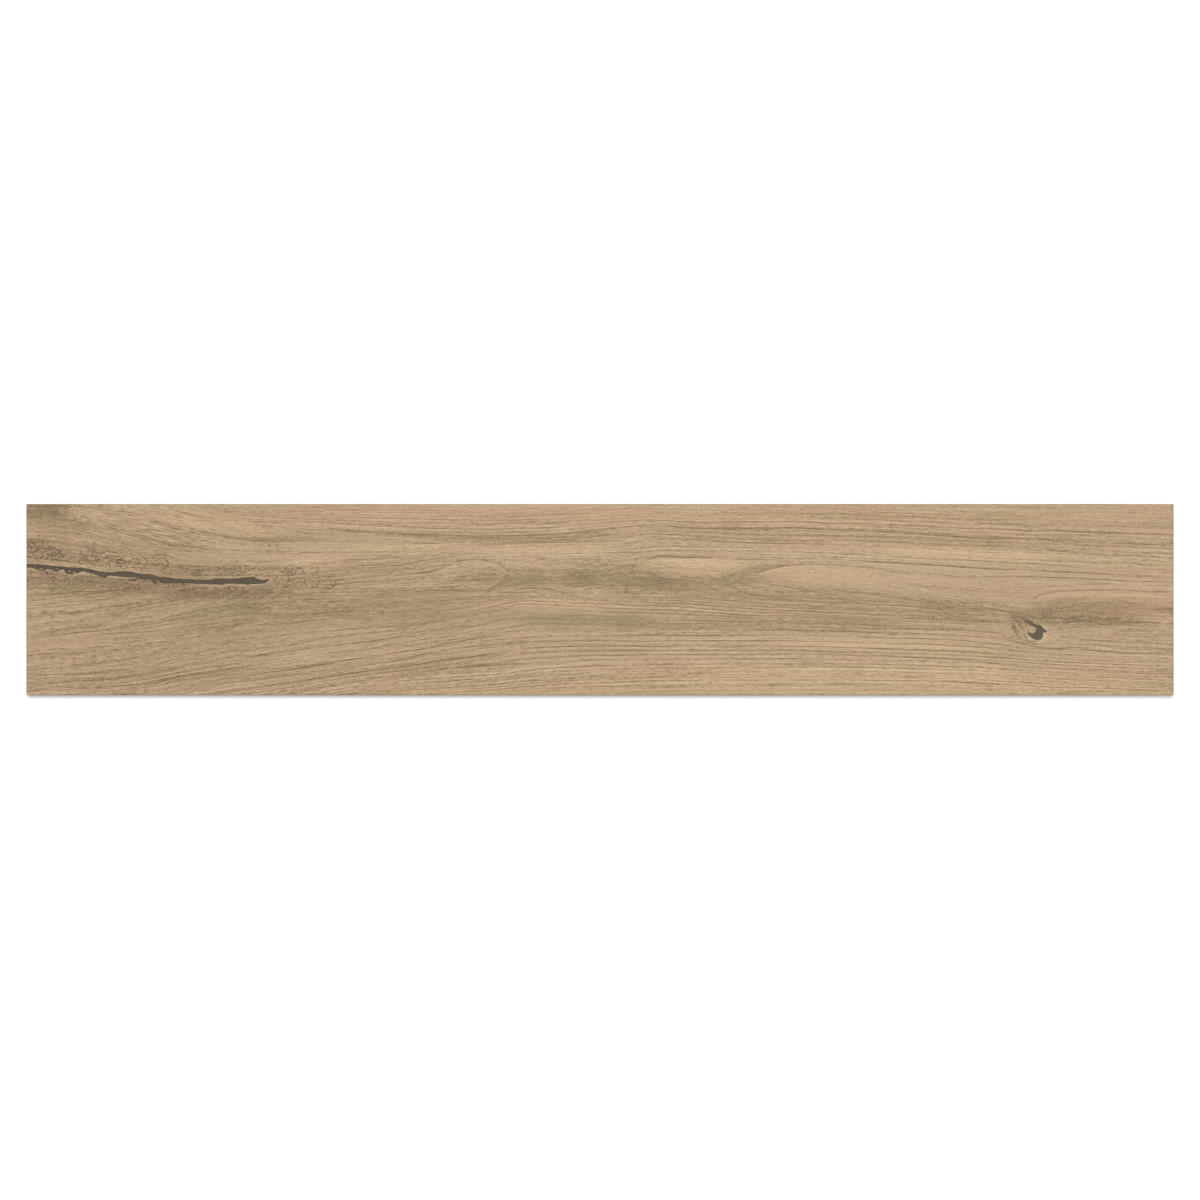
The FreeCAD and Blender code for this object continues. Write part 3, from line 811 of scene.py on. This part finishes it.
def key_lines(low, high, count):
    """The edge of the back, both walls of each key in turn, and the far edge."""
    key = (high - low - 2 * KEY_BORDER + KEY_RIB) / count - KEY_RIB
    starts = low + KEY_BORDER + np.arange(count) * (key + KEY_RIB)
    return np.concatenate([[low], np.stack([starts, starts + key], axis=1).ravel(), [high]])


# The four shells of vertices: the face, the foot of the bevel, the back's plane and the floors of its keys.
face_points = np.stack([place_x, place_y, place_z], axis=-1).reshape(-1, 3)
face_quads = grid_quads(len(columns), len(rows))
rim = round_border(len(columns), len(rows))

bevel_points = face_points[rim].copy()
for axis in (0, 1):
    at_low = np.isclose(bevel_points[:, axis], FACE_LOW[axis])
    at_high = np.isclose(bevel_points[:, axis], FACE_HIGH[axis])
    bevel_points[at_low, axis] = LOW[axis]
    bevel_points[at_high, axis] = HIGH[axis]
bevel_points[:, 2] = FACE_TOP - ARRIS
foot = len(face_points) + np.arange(len(rim))
bevel_quads = np.stack([foot, np.roll(foot, -1), np.roll(rim, -1), rim], axis=-1)

back_x = key_lines(LOW[0], HIGH[0], KEYS_ALONG)
back_y = key_lines(LOW[1], HIGH[1], KEYS_ACROSS)
grid_x, grid_y = np.meshgrid(back_x, back_y, indexing="ij")
back_points = np.stack([grid_x, grid_y, np.full(grid_x.shape, LOW[2])], axis=-1).reshape(-1, 3)
back_first = len(face_points) + len(bevel_points)
cells = grid_quads(len(back_x), len(back_y), back_first)[:, ::-1]
cells = cells.reshape(len(back_x) - 1, len(back_y) - 1, 4)
is_key = np.zeros(cells.shape[:2], dtype=bool)
is_key[1::2, 1::2] = True
rib_quads = cells[~is_key]
mouths = cells[is_key]

lean = KEY_DEPTH * math.tan(KEY_DRAFT)
mouth_points = back_points[mouths - back_first]
inwards = np.sign(mouth_points.mean(axis=1, keepdims=True) - mouth_points)
floor_points = mouth_points + inwards * lean
floor_points[..., 2] = LOW[2] + KEY_DEPTH
floors = back_first + len(back_points) + np.arange(mouths.size).reshape(mouths.shape)
wall_quads = np.stack(
    [mouths, np.roll(mouths, -1, axis=1), np.roll(floors, -1, axis=1), floors], axis=-1
).reshape(-1, 4)

# Each ground edge is one flat face between the foot of the bevel and the back.
back_rim = back_first + round_border(len(back_x), len(back_y))
upper_corners = np.cumsum([0, len(columns) - 1, len(rows) - 1, len(columns) - 1, len(rows) - 1])
lower_corners = np.cumsum([0, len(back_x) - 1, len(back_y) - 1, len(back_x) - 1, len(back_y) - 1])
edge_faces = []
for side in range(4):
    lower = np.append(back_rim, back_rim[0])[lower_corners[side]:lower_corners[side + 1] + 1]
    upper = np.append(foot, foot[0])[upper_corners[side]:upper_corners[side + 1] + 1]
    edge_faces.append(np.concatenate([lower, upper[::-1]]))

points = np.concatenate([face_points, bevel_points, back_points, floor_points.reshape(-1, 3)])
quads = np.concatenate([face_quads, bevel_quads, rib_quads, wall_quads, floors])
plank_mesh = bpy.data.meshes.new("fired_plank")
plank_mesh.from_pydata(points.tolist(), [], quads.tolist() + [face.tolist() for face in edge_faces])

is_face = np.arange(len(plank_mesh.polygons)) < len(face_quads)
plank_mesh.polygons.foreach_set("use_smooth", is_face)
plank_mesh.polygons.foreach_set("material_index", np.where(is_face, 0, 1))


def store(mesh, name, *parts):
    """Keeps up to three numbers for each vertex of the face in the mesh, and zeros for the rest."""
    values = np.zeros((len(mesh.vertices), 3), dtype=np.float32)
    values[: parts[0].size, : len(parts)] = np.stack([part.ravel() for part in parts], axis=1)
    mesh.attributes.new(name, "FLOAT_VECTOR", "POINT").data.foreach_set("vector", values.ravel())


store(plank_mesh, "grain", photo_x, depth, radius)
store(plank_mesh, "figure", photo_y, curls, fanning(photo_x, photo_y))
store(plank_mesh, "years", years, ring_widths)
store(plank_mesh, "rings", ringed, threaded, tones[..., 3])
store(plank_mesh, "ink", dark_off, dark_force)
store(plank_mesh, "pale_ink", pale_off, pale_force)
store(plank_mesh, "tone", tones[..., 0], tones[..., 1], tones[..., 2])
store(plank_mesh, "wounds", split, knot)

fired_plank = bpy.data.objects.new("fired_plank", plank_mesh)
bpy.context.scene.collection.objects.link(fired_plank)


class Wire:
    """A node's output that can stand in a sum: each operator adds a Math node."""

    def __init__(self, paint, socket):
        self.paint = paint
        self.socket = socket

    def math(self, operation, *values, **settings):
        return self.paint.add("ShaderNodeMath", {"operation": operation, **settings}, [self, *values])

    def __add__(self, other):
        return self.math("ADD", other)

    def __sub__(self, other):
        return self.math("SUBTRACT", other)

    def __rsub__(self, other):
        return (self * -1) + other

    def __mul__(self, other):
        return self.math("MULTIPLY", other)

    def __truediv__(self, other):
        return self.math("DIVIDE", other)

    __radd__ = __add__
    __rmul__ = __mul__

    def clamped(self):
        return self.math("ADD", 0.0, use_clamp=True)

    def step(self, low, high):
        """0 below low and 1 above high, with a smooth rise between; it falls where low is the larger."""
        settings = {"interpolation_type": "SMOOTHSTEP"}
        inputs = {"Value": self, "From Min": low, "From Max": high}
        return self.paint.add("ShaderNodeMapRange", settings, inputs, "Result")

    def ridge(self, width):
        """1 where the value passes the middle of the noise's range, down to 0 at width from it."""
        return (self - 0.5).math("ABSOLUTE").step(width, 0.0)


class Paint:
    """A new material, or a new world, while its nodes are laid."""

    def __init__(self, name, shelf=bpy.data.materials, output="ShaderNodeOutputMaterial"):
        self.block = shelf.new(name)
        self.block.use_nodes = True
        self.tree = self.block.node_tree
        self.tree.nodes.clear()
        self.output = self.tree.nodes.new(output)

    def add(self, kind, settings, inputs, output=0):
        """Adds a node, sets what it is, such as a ramp's stops, then feeds its sockets."""
        node = self.tree.nodes.new(kind)
        for name, value in settings.items():
            if name == "stops":
                self.lay_stops(node.color_ramp.elements, value)
            else:
                setattr(node, name, value)
        named = inputs.items() if isinstance(inputs, dict) else enumerate(inputs)
        for name, value in named:
            if isinstance(value, Wire):
                self.tree.links.new(value.socket, node.inputs[name])
            else:
                node.inputs[name].default_value = value
        return Wire(self, node.outputs[output])

    def lay_stops(self, ramp, stops):
        """Gives a ramp its colours. The first stop is at 0 and the last at 1."""
        for place, shade in stops[1:-1]:
            ramp.new(place).color = shade
        ramp[0].color = stops[0][1]
        ramp[-1].color = stops[-1][1]

    def parts(self, name):
        """The three numbers of an attribute."""
        vector = self.add("ShaderNodeAttribute", {"attribute_name": name}, {}, "Vector")
        return [self.add("ShaderNodeSeparateXYZ", {}, [vector], part) for part in "XYZ"]

    def noise(self, x, y, z=0.0, detail=2.0, roughness=0.5, distortion=0.0):
        """Cloudy noise from 0 to 1, its cells one unit wide in each number. A fixed z picks a pattern."""
        place = self.add("ShaderNodeCombineXYZ", {}, [x, y, z])
        sockets = {"Vector": place, "Scale": 1.0, "Detail": detail, "Roughness": roughness}
        return self.add("ShaderNodeTexNoise", {}, {**sockets, "Distortion": distortion}, "Fac")

    def mix(self, share, first, second):
        """Goes from the first colour to the second as share goes from 0 to 1."""
        colours = {"Factor": share, 6: first, 7: second}
        return self.add("ShaderNodeMix", {"data_type": "RGBA"}, colours, 2)

    def bumped(self, strength, distance, height):
        """The surface's direction, tilted as a height over it asks."""
        sockets = {"Strength": strength, "Distance": distance, "Height": height}
        return self.add("ShaderNodeBump", {}, sockets, "Normal")

    def finish(self, surface):
        """Joins the surface to the output."""
        self.tree.links.new(surface.socket, self.output.inputs["Surface"])
        return self.block


def ink(red, green, blue):
    """The light that a colour of 0 to 255 on a screen stands for: a power curve with a straight foot."""
    shares = np.array([red, green, blue]) / 255
    light = np.where(shares < 0.04045, shares / 12.92, ((shares + 0.055) / 1.055) ** 2.4)
    return (*light.tolist(), 1.0)


# The oak print goes from the darkest pores to the palest early wood, with three tints laid over it.
OAK_SHADES = [
    (0.0, ink(84, 66, 44)),
    (0.28, ink(134, 109, 79)),
    (0.5, ink(183, 156, 122)),
    (0.72, ink(211, 185, 149)),
    (1.0, ink(230, 207, 172)),
]
ROSY, OLIVE, GOLD = ink(190, 152, 126), ink(154, 144, 106), ink(216, 182, 124)
SPLIT_GREY, SPLIT_BROWN = ink(89, 79, 62), ink(66, 55, 39)
KNOT_GREY, KNOT_BROWN = ink(93, 82, 65), ink(72, 60, 43)
# The even waves of the rings and of the threads come back after so many units of depth. The scribbles of the
# burl are the crests of a wave whose phase runs so many radians over the whole range of a smooth noise.
RING_SPACING = 4.8
THREAD_SPACING = 3.3
FULL_TURN = 2 * math.pi
SCRIBBLE_PHASE = 48
# Half the face's width in pixels, and the middle and sharpness of the fringe along the split's lips.
HALF_FACE_PIXELS = 95
FRINGE_MIDDLE, FRINGE_SHARPNESS = 1.5, 1.2
# How much light each layer of the figure gives or takes, and how many units of it the ramp spans. A unit is
# about 35 of 255 levels towards pale and 60 towards dark.
LIGHT_SPAN = 3.6
FIBRES_LIGHT, FINE_LIGHT, GRIT_LIGHT, BANDS_LIGHT = 1.7, 1.4, 1.0, 0.36
THREADS_LIGHT, RING_LINES_LIGHT = 0.60, 0.20
DARK_INK_LIGHT, CURL_INK_LIGHT, PALE_INK_LIGHT, FRINGE_LIGHT = 1.30, 1.7, 0.7, 0.8
OVERALL_LIGHT = 0.04
ROSY_SHARE, OLIVE_SHARE, GOLD_SHARE = 0.5, 0.5, 0.6


def edged_line(off, sharpness, halo_sharpness, halo):
    """A dark line with pale sides: a bell curve of the distance off it, less a share of a wider one."""
    square = off * off
    return (square * -sharpness).math("EXPONENT") - (square * -halo_sharpness).math("EXPONENT") * halo


def curled_ink(paint, along, down, curls):
    """Blots and scribbles of the burl. A scribble follows a contour of smooth noise, broken into arcs."""
    blots = paint.noise(along / 2.6, down / 2.0, 29.0, detail=1.0, distortion=1.2).step(0.60, 0.70)
    eddies = paint.noise(along / 13, down / 8, 37.0, detail=0.0, distortion=0.7)
    scribble = (eddies * SCRIBBLE_PHASE).math("SINE").step(0.25, 0.85)
    clusters = paint.noise(along / 9, down / 6, 43.0, detail=1.0).step(0.24, 0.52)
    arcs = paint.noise(along / 4, down / 3, 67.0, detail=1.0).step(0.38, 0.54)
    return (blots * 0.35 + scribble * (arcs * 0.85 + 0.15) - 0.03) * clusters * curls


def oak_print():
    """The printed face: layers of the figure add up to one lightness, which a ramp turns into shades of oak.

    In each noise, what along is divided by is the length of a cell in pixels, and what depth, radius or down
    is divided by is its width.
    """
    paint = Paint("oak_print")
    along, depth, radius = paint.parts("grain")
    down, curls, fanned = paint.parts("figure")
    year, ring_width, _ = paint.parts("years")
    ringed, threaded, patch_gold = paint.parts("rings")
    dark_off, dark_force, _ = paint.parts("ink")
    pale_off, pale_force, _ = paint.parts("pale_ink")
    patch_light, patch_rose, patch_olive = paint.parts("tone")
    split, knot, _ = paint.parts("wounds")

    wander = paint.noise(along / 45, depth / 10)
    wavy = depth + (wander - 0.5) * 3.0

    def threads(length, width, seed, detail, roughness=0.5):
        """Noise drawn out along the fibres, which keeps its fineness across them where they fan out."""
        close = paint.noise(along / length, wavy / width, seed, detail, roughness)
        fan = paint.noise(along / length, wavy / (width / 2), seed + 50, detail, roughness)
        return close + (fan - close) * fanned

    # Growth rings: broad bands, a few dark lines, even waves, and the late wood of each ring.
    bands = paint.noise(along / 260, radius / 12, depth / 60)
    ring_lines = paint.noise(along / 330, radius / 5.5, depth / 90, detail=1.0).ridge(0.035)
    drift = paint.noise(along / 280, depth / 18, 5.0, detail=1.0)
    ring_waves = (radius * (FULL_TURN / RING_SPACING) + wander * 2.0 + drift * 8.0).math("SINE")
    thread_waves = (wavy * (FULL_TURN / THREAD_SPACING) + drift * 7.0).math("SINE")
    thread_dark = thread_waves.step(0.0, -1.0)
    off_ring = ((year + (wander - 0.5) * 0.3 + 0.5).math("FRACT") - 0.5) * ring_width
    ring_force = paint.noise(along / 170, year * 1.7, 9.0, detail=1.0).step(0.30, 0.56) * 0.45 + 0.55
    ring_dark = edged_line(off_ring, 1.3, 0.35, 0.35) * ring_force

    # Fibres and pores, from long streaks down to grit.
    long_lines = threads(150, 1.5, 2.0, 2.0, 0.6)
    fibres = threads(36, 1.1, 3.0, 2.0, 0.6)
    fine = threads(8, 1.1, 11.0, 1.0)
    grit = paint.noise(along / 2.0, down / 1.2, 13.0, detail=1.0)
    pores = threads(7, 1.1, 17.0, 1.0).step(0.58, 0.70)
    pore_zones = paint.noise(along / 90, radius / 6, 23.0, detail=1.0).step(0.40, 0.65)
    hatch = threads(15, 0.8, 61.0, 0.0)
    hatch_ink = hatch.step(0.50, 0.62) * 0.6 - hatch.step(0.46, 0.34) * 0.45

    # Single strokes, the dark ones broken here and there.
    curl_ink = curled_ink(paint, along, down, curls)
    broken = paint.noise(along / 16, wavy / 2.0, 31.0, detail=1.0).step(0.30, 0.55) * 0.45 + 0.55
    dark_ink = edged_line(dark_off, 1.0, 0.3, 0.3) * dark_force
    pale_ink = (pale_off * pale_off * -1.0).math("EXPONENT") * pale_force

    texture = (
        (long_lines - 0.5) * (fanned * -0.7 + 1.7)
        + (fibres - 0.5) * FIBRES_LIGHT
        + (fine - 0.5) * FINE_LIGHT
        + (grit - 0.5) * GRIT_LIGHT
        - pores * (pore_zones * 0.35 + 0.20)
    )
    # The texture is crisper towards the long edges, and softer where the grain fans out or rings show.
    off_middle = (down - FACE_MIDDLE[1]) / HALF_FACE_PIXELS
    crisp = off_middle * off_middle * 0.30 + 1.05 - fanned * (threaded * 0.35 + 0.18) - ringed * 0.22
    light = (
        texture * crisp
        + (bands - 0.5) * BANDS_LIGHT
        + ring_waves * (ringed * 0.02 + 0.03)
        - ring_dark * (ringed * 1.05 + 0.16)
        - thread_dark * threaded * (fanned * -1.0 + 1.0) * THREADS_LIGHT
        - hatch_ink * threaded * fanned
        - ring_lines * RING_LINES_LIGHT
        - dark_ink * broken * DARK_INK_LIGHT
        - curl_ink * CURL_INK_LIGHT
        + pale_ink * PALE_INK_LIGHT
        + patch_light
        + OVERALL_LIGHT
    )
    # Fibres stand out along the split's lips, most of them pale.
    fringe = ((split - FRINGE_MIDDLE) * (split - FRINGE_MIDDLE) * -FRINGE_SHARPNESS).math("EXPONENT")
    light = light + fringe * (fibres - 0.4) * FRINGE_LIGHT
    colour = paint.add("ShaderNodeValToRGB", {"stops": OAK_SHADES}, [light / LIGHT_SPAN + 0.5], "Color")

    hue = paint.noise(along / 150, radius / 9, 41.0)
    rosy = ((hue - 0.5) * 1.35 + patch_rose * 0.5).clamped()
    olive = ((0.5 - hue) * 1.0 + patch_olive * 0.55).clamped()
    gold = (patch_gold * 0.45).clamped()
    colour = paint.mix(rosy * ROSY_SHARE, colour, ROSY)
    colour = paint.mix(olive * OLIVE_SHARE, colour, OLIVE)
    colour = paint.mix(gold * GOLD_SHARE, colour, GOLD)

    # The split and the knot, ragged at their lips, streaked along the grain and browner at their rims.
    ragged = paint.noise(along / 2.6, down / 1.0, 47.0, roughness=0.6)
    rot_streaks = paint.noise(along / 7, down / 1.2, 53.0, roughness=0.6).step(0.42, 0.60)
    wounds = []
    for outside_by, raggedness, streak_share, rim_share, grey, brown in (
        (split, 1.6, 0.6, 0.5, SPLIT_GREY, SPLIT_BROWN),
        (knot, 1.2, 0.5, 0.4, KNOT_GREY, KNOT_BROWN),
    ):
        wound = (outside_by + (ragged - 0.5) * raggedness).step(0.35, -0.25)
        rim = (outside_by + 1.3).step(0.0, 0.9)
        tone = (rot_streaks * streak_share + rim * rim_share).clamped()
        colour = paint.mix(wound, colour, paint.mix(tone, grey, brown))
        wounds.append(wound)

    height = (
        fibres * 0.5
        + fine * 0.35
        - ring_dark * (ringed * 0.25 + 0.05)
        - pores * 0.35
        - ring_lines * 0.25
        - dark_ink * 0.35
        - curl_ink * 0.35
        - wounds[0] * 0.3
        - wounds[1] * 0.3
    )
    roughness = (fibres * 0.16 + pores * 0.10 + wounds[0] * 0.08 + 0.52).clamped()
    sockets = {"Base Color": colour, "Roughness": roughness, "Specular IOR Level": 0.35}
    sockets["Normal"] = paint.bumped(0.6, 0.0003, height)
    return paint.finish(paint.add("ShaderNodeBsdfPrincipled", {}, sockets, "BSDF"))


BODY_DARK, BODY_PALE = ink(148, 127, 101), ink(160, 139, 112)
BODY_GRIT, BODY_SPECK = ink(130, 111, 87), ink(92, 77, 60)


def fired_stoneware():
    """The bare body on the ground edges and the back: beige, finely speckled and slightly clouded."""
    paint = Paint("fired_stoneware")
    place = paint.add("ShaderNodeTexCoord", {}, {}, "Object")
    axes = [paint.add("ShaderNodeSeparateXYZ", {}, [place], part) for part in "XYZ"]

    def cells(per_metre, detail):
        """Noise in the body, with so many cells to a metre."""
        return paint.noise(*(axis * per_metre for axis in axes), detail=detail)

    grit = cells(1400, 1.0)
    colour = paint.mix(cells(14, 3.0), BODY_DARK, BODY_PALE)
    colour = paint.mix((grit - 0.35).clamped() * 0.5, colour, BODY_GRIT)
    colour = paint.mix(cells(700, 0.0).step(0.68, 0.76) * 0.6, colour, BODY_SPECK)
    sockets = {"Base Color": colour, "Roughness": (grit * 0.1 + 0.72).clamped()}
    sockets["Normal"] = paint.bumped(0.3, 0.0001, grit)
    return paint.finish(paint.add("ShaderNodeBsdfPrincipled", {}, sockets, "BSDF"))


# A map of the surface for baking: two strips for the halves of the face, one for the back, and narrow ones
# for the ground edges with their bevels. Rows are pixels of a square map, from its lower edge.
MAP_PIXELS = 1024
MAP_MARGIN = 3
FACE_STRIP, BACK_STRIP, EDGE_STRIP, BEVEL_STRIP = 394, 168, 7, 2
STRIP_GAP = 5
face_rows = [MAP_MARGIN + half * (FACE_STRIP + STRIP_GAP) for half in (0, 1)]
back_row = face_rows[1] + FACE_STRIP + STRIP_GAP
first_edge_row = back_row + BACK_STRIP + STRIP_GAP
edge_step = EDGE_STRIP + BEVEL_STRIP + STRIP_GAP
# The edges in their order round the tile: the long ones have a strip each, and the two ends share one.
edge_rows = [first_edge_row + strip * edge_step for strip in (0, 2, 1, 2)]
edge_starts = [MAP_MARGIN, MAP_MARGIN, MAP_MARGIN, MAP_PIXELS // 2]
MAP_SPAN = MAP_PIXELS - 2 * MAP_MARGIN


def between(values, low, high, start, span):
    """Runs evenly from start as values go from low to high, by span in all."""
    return start + (values - low) / (high - low) * span


vertex_of = np.zeros(len(plank_mesh.loops), dtype=np.int32)
plank_mesh.loops.foreach_get("vertex_index", vertex_of)
x, y, z = points[vertex_of].T
sizes_of = np.array([4] * len(quads) + [len(face) for face in edge_faces])
face_of = np.repeat(np.arange(len(sizes_of)), sizes_of)
middle_x = np.add.reduceat(x, np.concatenate([[0], np.cumsum(sizes_of)[:-1]])) / sizes_of
right_half = (middle_x > 0)[face_of]
on_face = face_of < len(face_quads)
NO_SIDE = -1
side_of = np.full(len(sizes_of), NO_SIDE)
bevel_side = np.searchsorted(upper_corners, np.arange(len(bevel_quads)), side="right") - 1
side_of[len(face_quads):len(face_quads) + len(bevel_quads)] = bevel_side
side_of[len(quads):] = range(4)
side_of = side_of[face_of]

across_map = between(x, LOW[0], HIGH[0], MAP_MARGIN, MAP_SPAN)
up_map = between(y, LOW[1], HIGH[1], back_row, BACK_STRIP)
half_x = np.where(right_half, x, x - LOW[0])
across_map = np.where(on_face, between(half_x, 0.0, HIGH[0], MAP_MARGIN, MAP_SPAN), across_map)
strip = np.where(right_half, face_rows[1], face_rows[0])
up_map = np.where(on_face, between(y, LOW[1], HIGH[1], strip, FACE_STRIP), up_map)
rise = np.interp(z, [LOW[2], FACE_TOP - ARRIS, FACE_TOP], [0, EDGE_STRIP, EDGE_STRIP + BEVEL_STRIP])
for side in range(4):
    on_side = side_of == side
    axis = side % 2
    length = MAP_SPAN * HIGH[axis] / HIGH[0]
    run = between((x, y)[axis], LOW[axis], HIGH[axis], edge_starts[side], length)
    across_map = np.where(on_side, run, across_map)
    up_map = np.where(on_side, edge_rows[side] + rise, up_map)

bake_map = plank_mesh.uv_layers.new(name="OFBake")
bake_map.data.foreach_set("uv", (np.stack([across_map, up_map], axis=1) / MAP_PIXELS).ravel())

plank_mesh.materials.append(oak_print())
plank_mesh.materials.append(fired_stoneware())

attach(fired_plank, "root")
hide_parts("plank_tile")


# The floor
# A plain white studio floor, level with the tile's back. It shows as white and keeps the tile's shadow.

FLOOR_SIZE = 40.0
FLOOR_LIFT = 0.2
FLOOR_PAINT = (0.9, 0.9, 0.9, 1.0)
WHITE = (1.0, 1.0, 1.0, 1.0)


def seen_share(paint):
    """1 for rays that come straight from the camera, or by way of a mirror or a pane, and 0 for others."""
    kinds = [
        paint.add("ShaderNodeLightPath", {}, {}, name)
        for name in ("Is Camera Ray", "Is Glossy Ray", "Is Transmission Ray")
    ]
    return kinds[0].math("MAXIMUM", kinds[1]).math("MAXIMUM", kinds[2])


def studio_white():
    """Matt white paint, with a little light added for what is seen, so that it shows as pure white."""
    paint = Paint("studio_white")
    glow = seen_share(paint) * FLOOR_LIFT
    paper = paint.add("ShaderNodeBsdfDiffuse", {}, {"Color": FLOOR_PAINT})
    lift = paint.add("ShaderNodeEmission", {}, {"Color": WHITE, "Strength": glow})
    return paint.finish(paint.add("ShaderNodeAddShader", {}, [paper, lift]))


around = np.array([(-1, -1), (1, -1), (1, 1), (-1, 1)])
floor_corners = np.column_stack([around * FLOOR_SIZE / 2, np.full(len(around), LOW[2])])
floor_mesh = bpy.data.meshes.new("floor")
floor_mesh.from_pydata(floor_corners.tolist(), [], [(0, 1, 2, 3)])
floor_mesh.materials.append(studio_white())
floor = bpy.data.objects.new("floor", floor_mesh)
bpy.context.scene.collection.objects.link(floor)


# The light
# Part of it comes evenly from all round, the rest from a broad lamp behind the tile's upper edge, so that
# a narrow soft shadow falls along the lower edge.

LAMP_SHARE = 0.6
LAMP_TILT = math.radians(19)
LAMP_SPREAD = math.radians(28)

lamp_light = bpy.data.lights.new("broad_lamp", "SUN")
lamp_light.angle = LAMP_SPREAD
lamp_light.energy = LAMP_SHARE * math.pi / math.cos(LAMP_TILT)
lamp = bpy.data.objects.new("broad_lamp", lamp_light)
lamp.rotation_euler = (-LAMP_TILT, 0.0, 0.0)
bpy.context.scene.collection.objects.link(lamp)

sky = Paint("studio", bpy.data.worlds, "ShaderNodeOutputWorld")
sky_strength = seen_share(sky) * LAMP_SHARE + (1 - LAMP_SHARE)
glow = sky.add("ShaderNodeBackground", {}, {"Color": WHITE, "Strength": sky_strength})
bpy.context.scene.world = sky.finish(glow)


# The camera
# It looks straight down from about three metres, with the long edge level and the whole plank in the frame.

LENS = 85.0
SENSOR = 36.0
FAR_CLIP = 100.0

camera_data = bpy.data.cameras.new("camera")
camera_data.lens = LENS
camera_data.sensor_width = SENSOR
camera_data.clip_end = FAR_CLIP
camera = bpy.data.objects.new("camera", camera_data)
frame_middle_y = (FACE_MIDDLE[1] - FRAME_PIXELS / 2) * PIXEL
camera.location = (0.0, frame_middle_y, FACE_TOP + FRAME_PIXELS * PIXEL * LENS / SENSOR)
bpy.context.scene.collection.objects.link(camera)
bpy.context.scene.camera = camera
bpy.context.scene.view_settings.view_transform = "Standard"
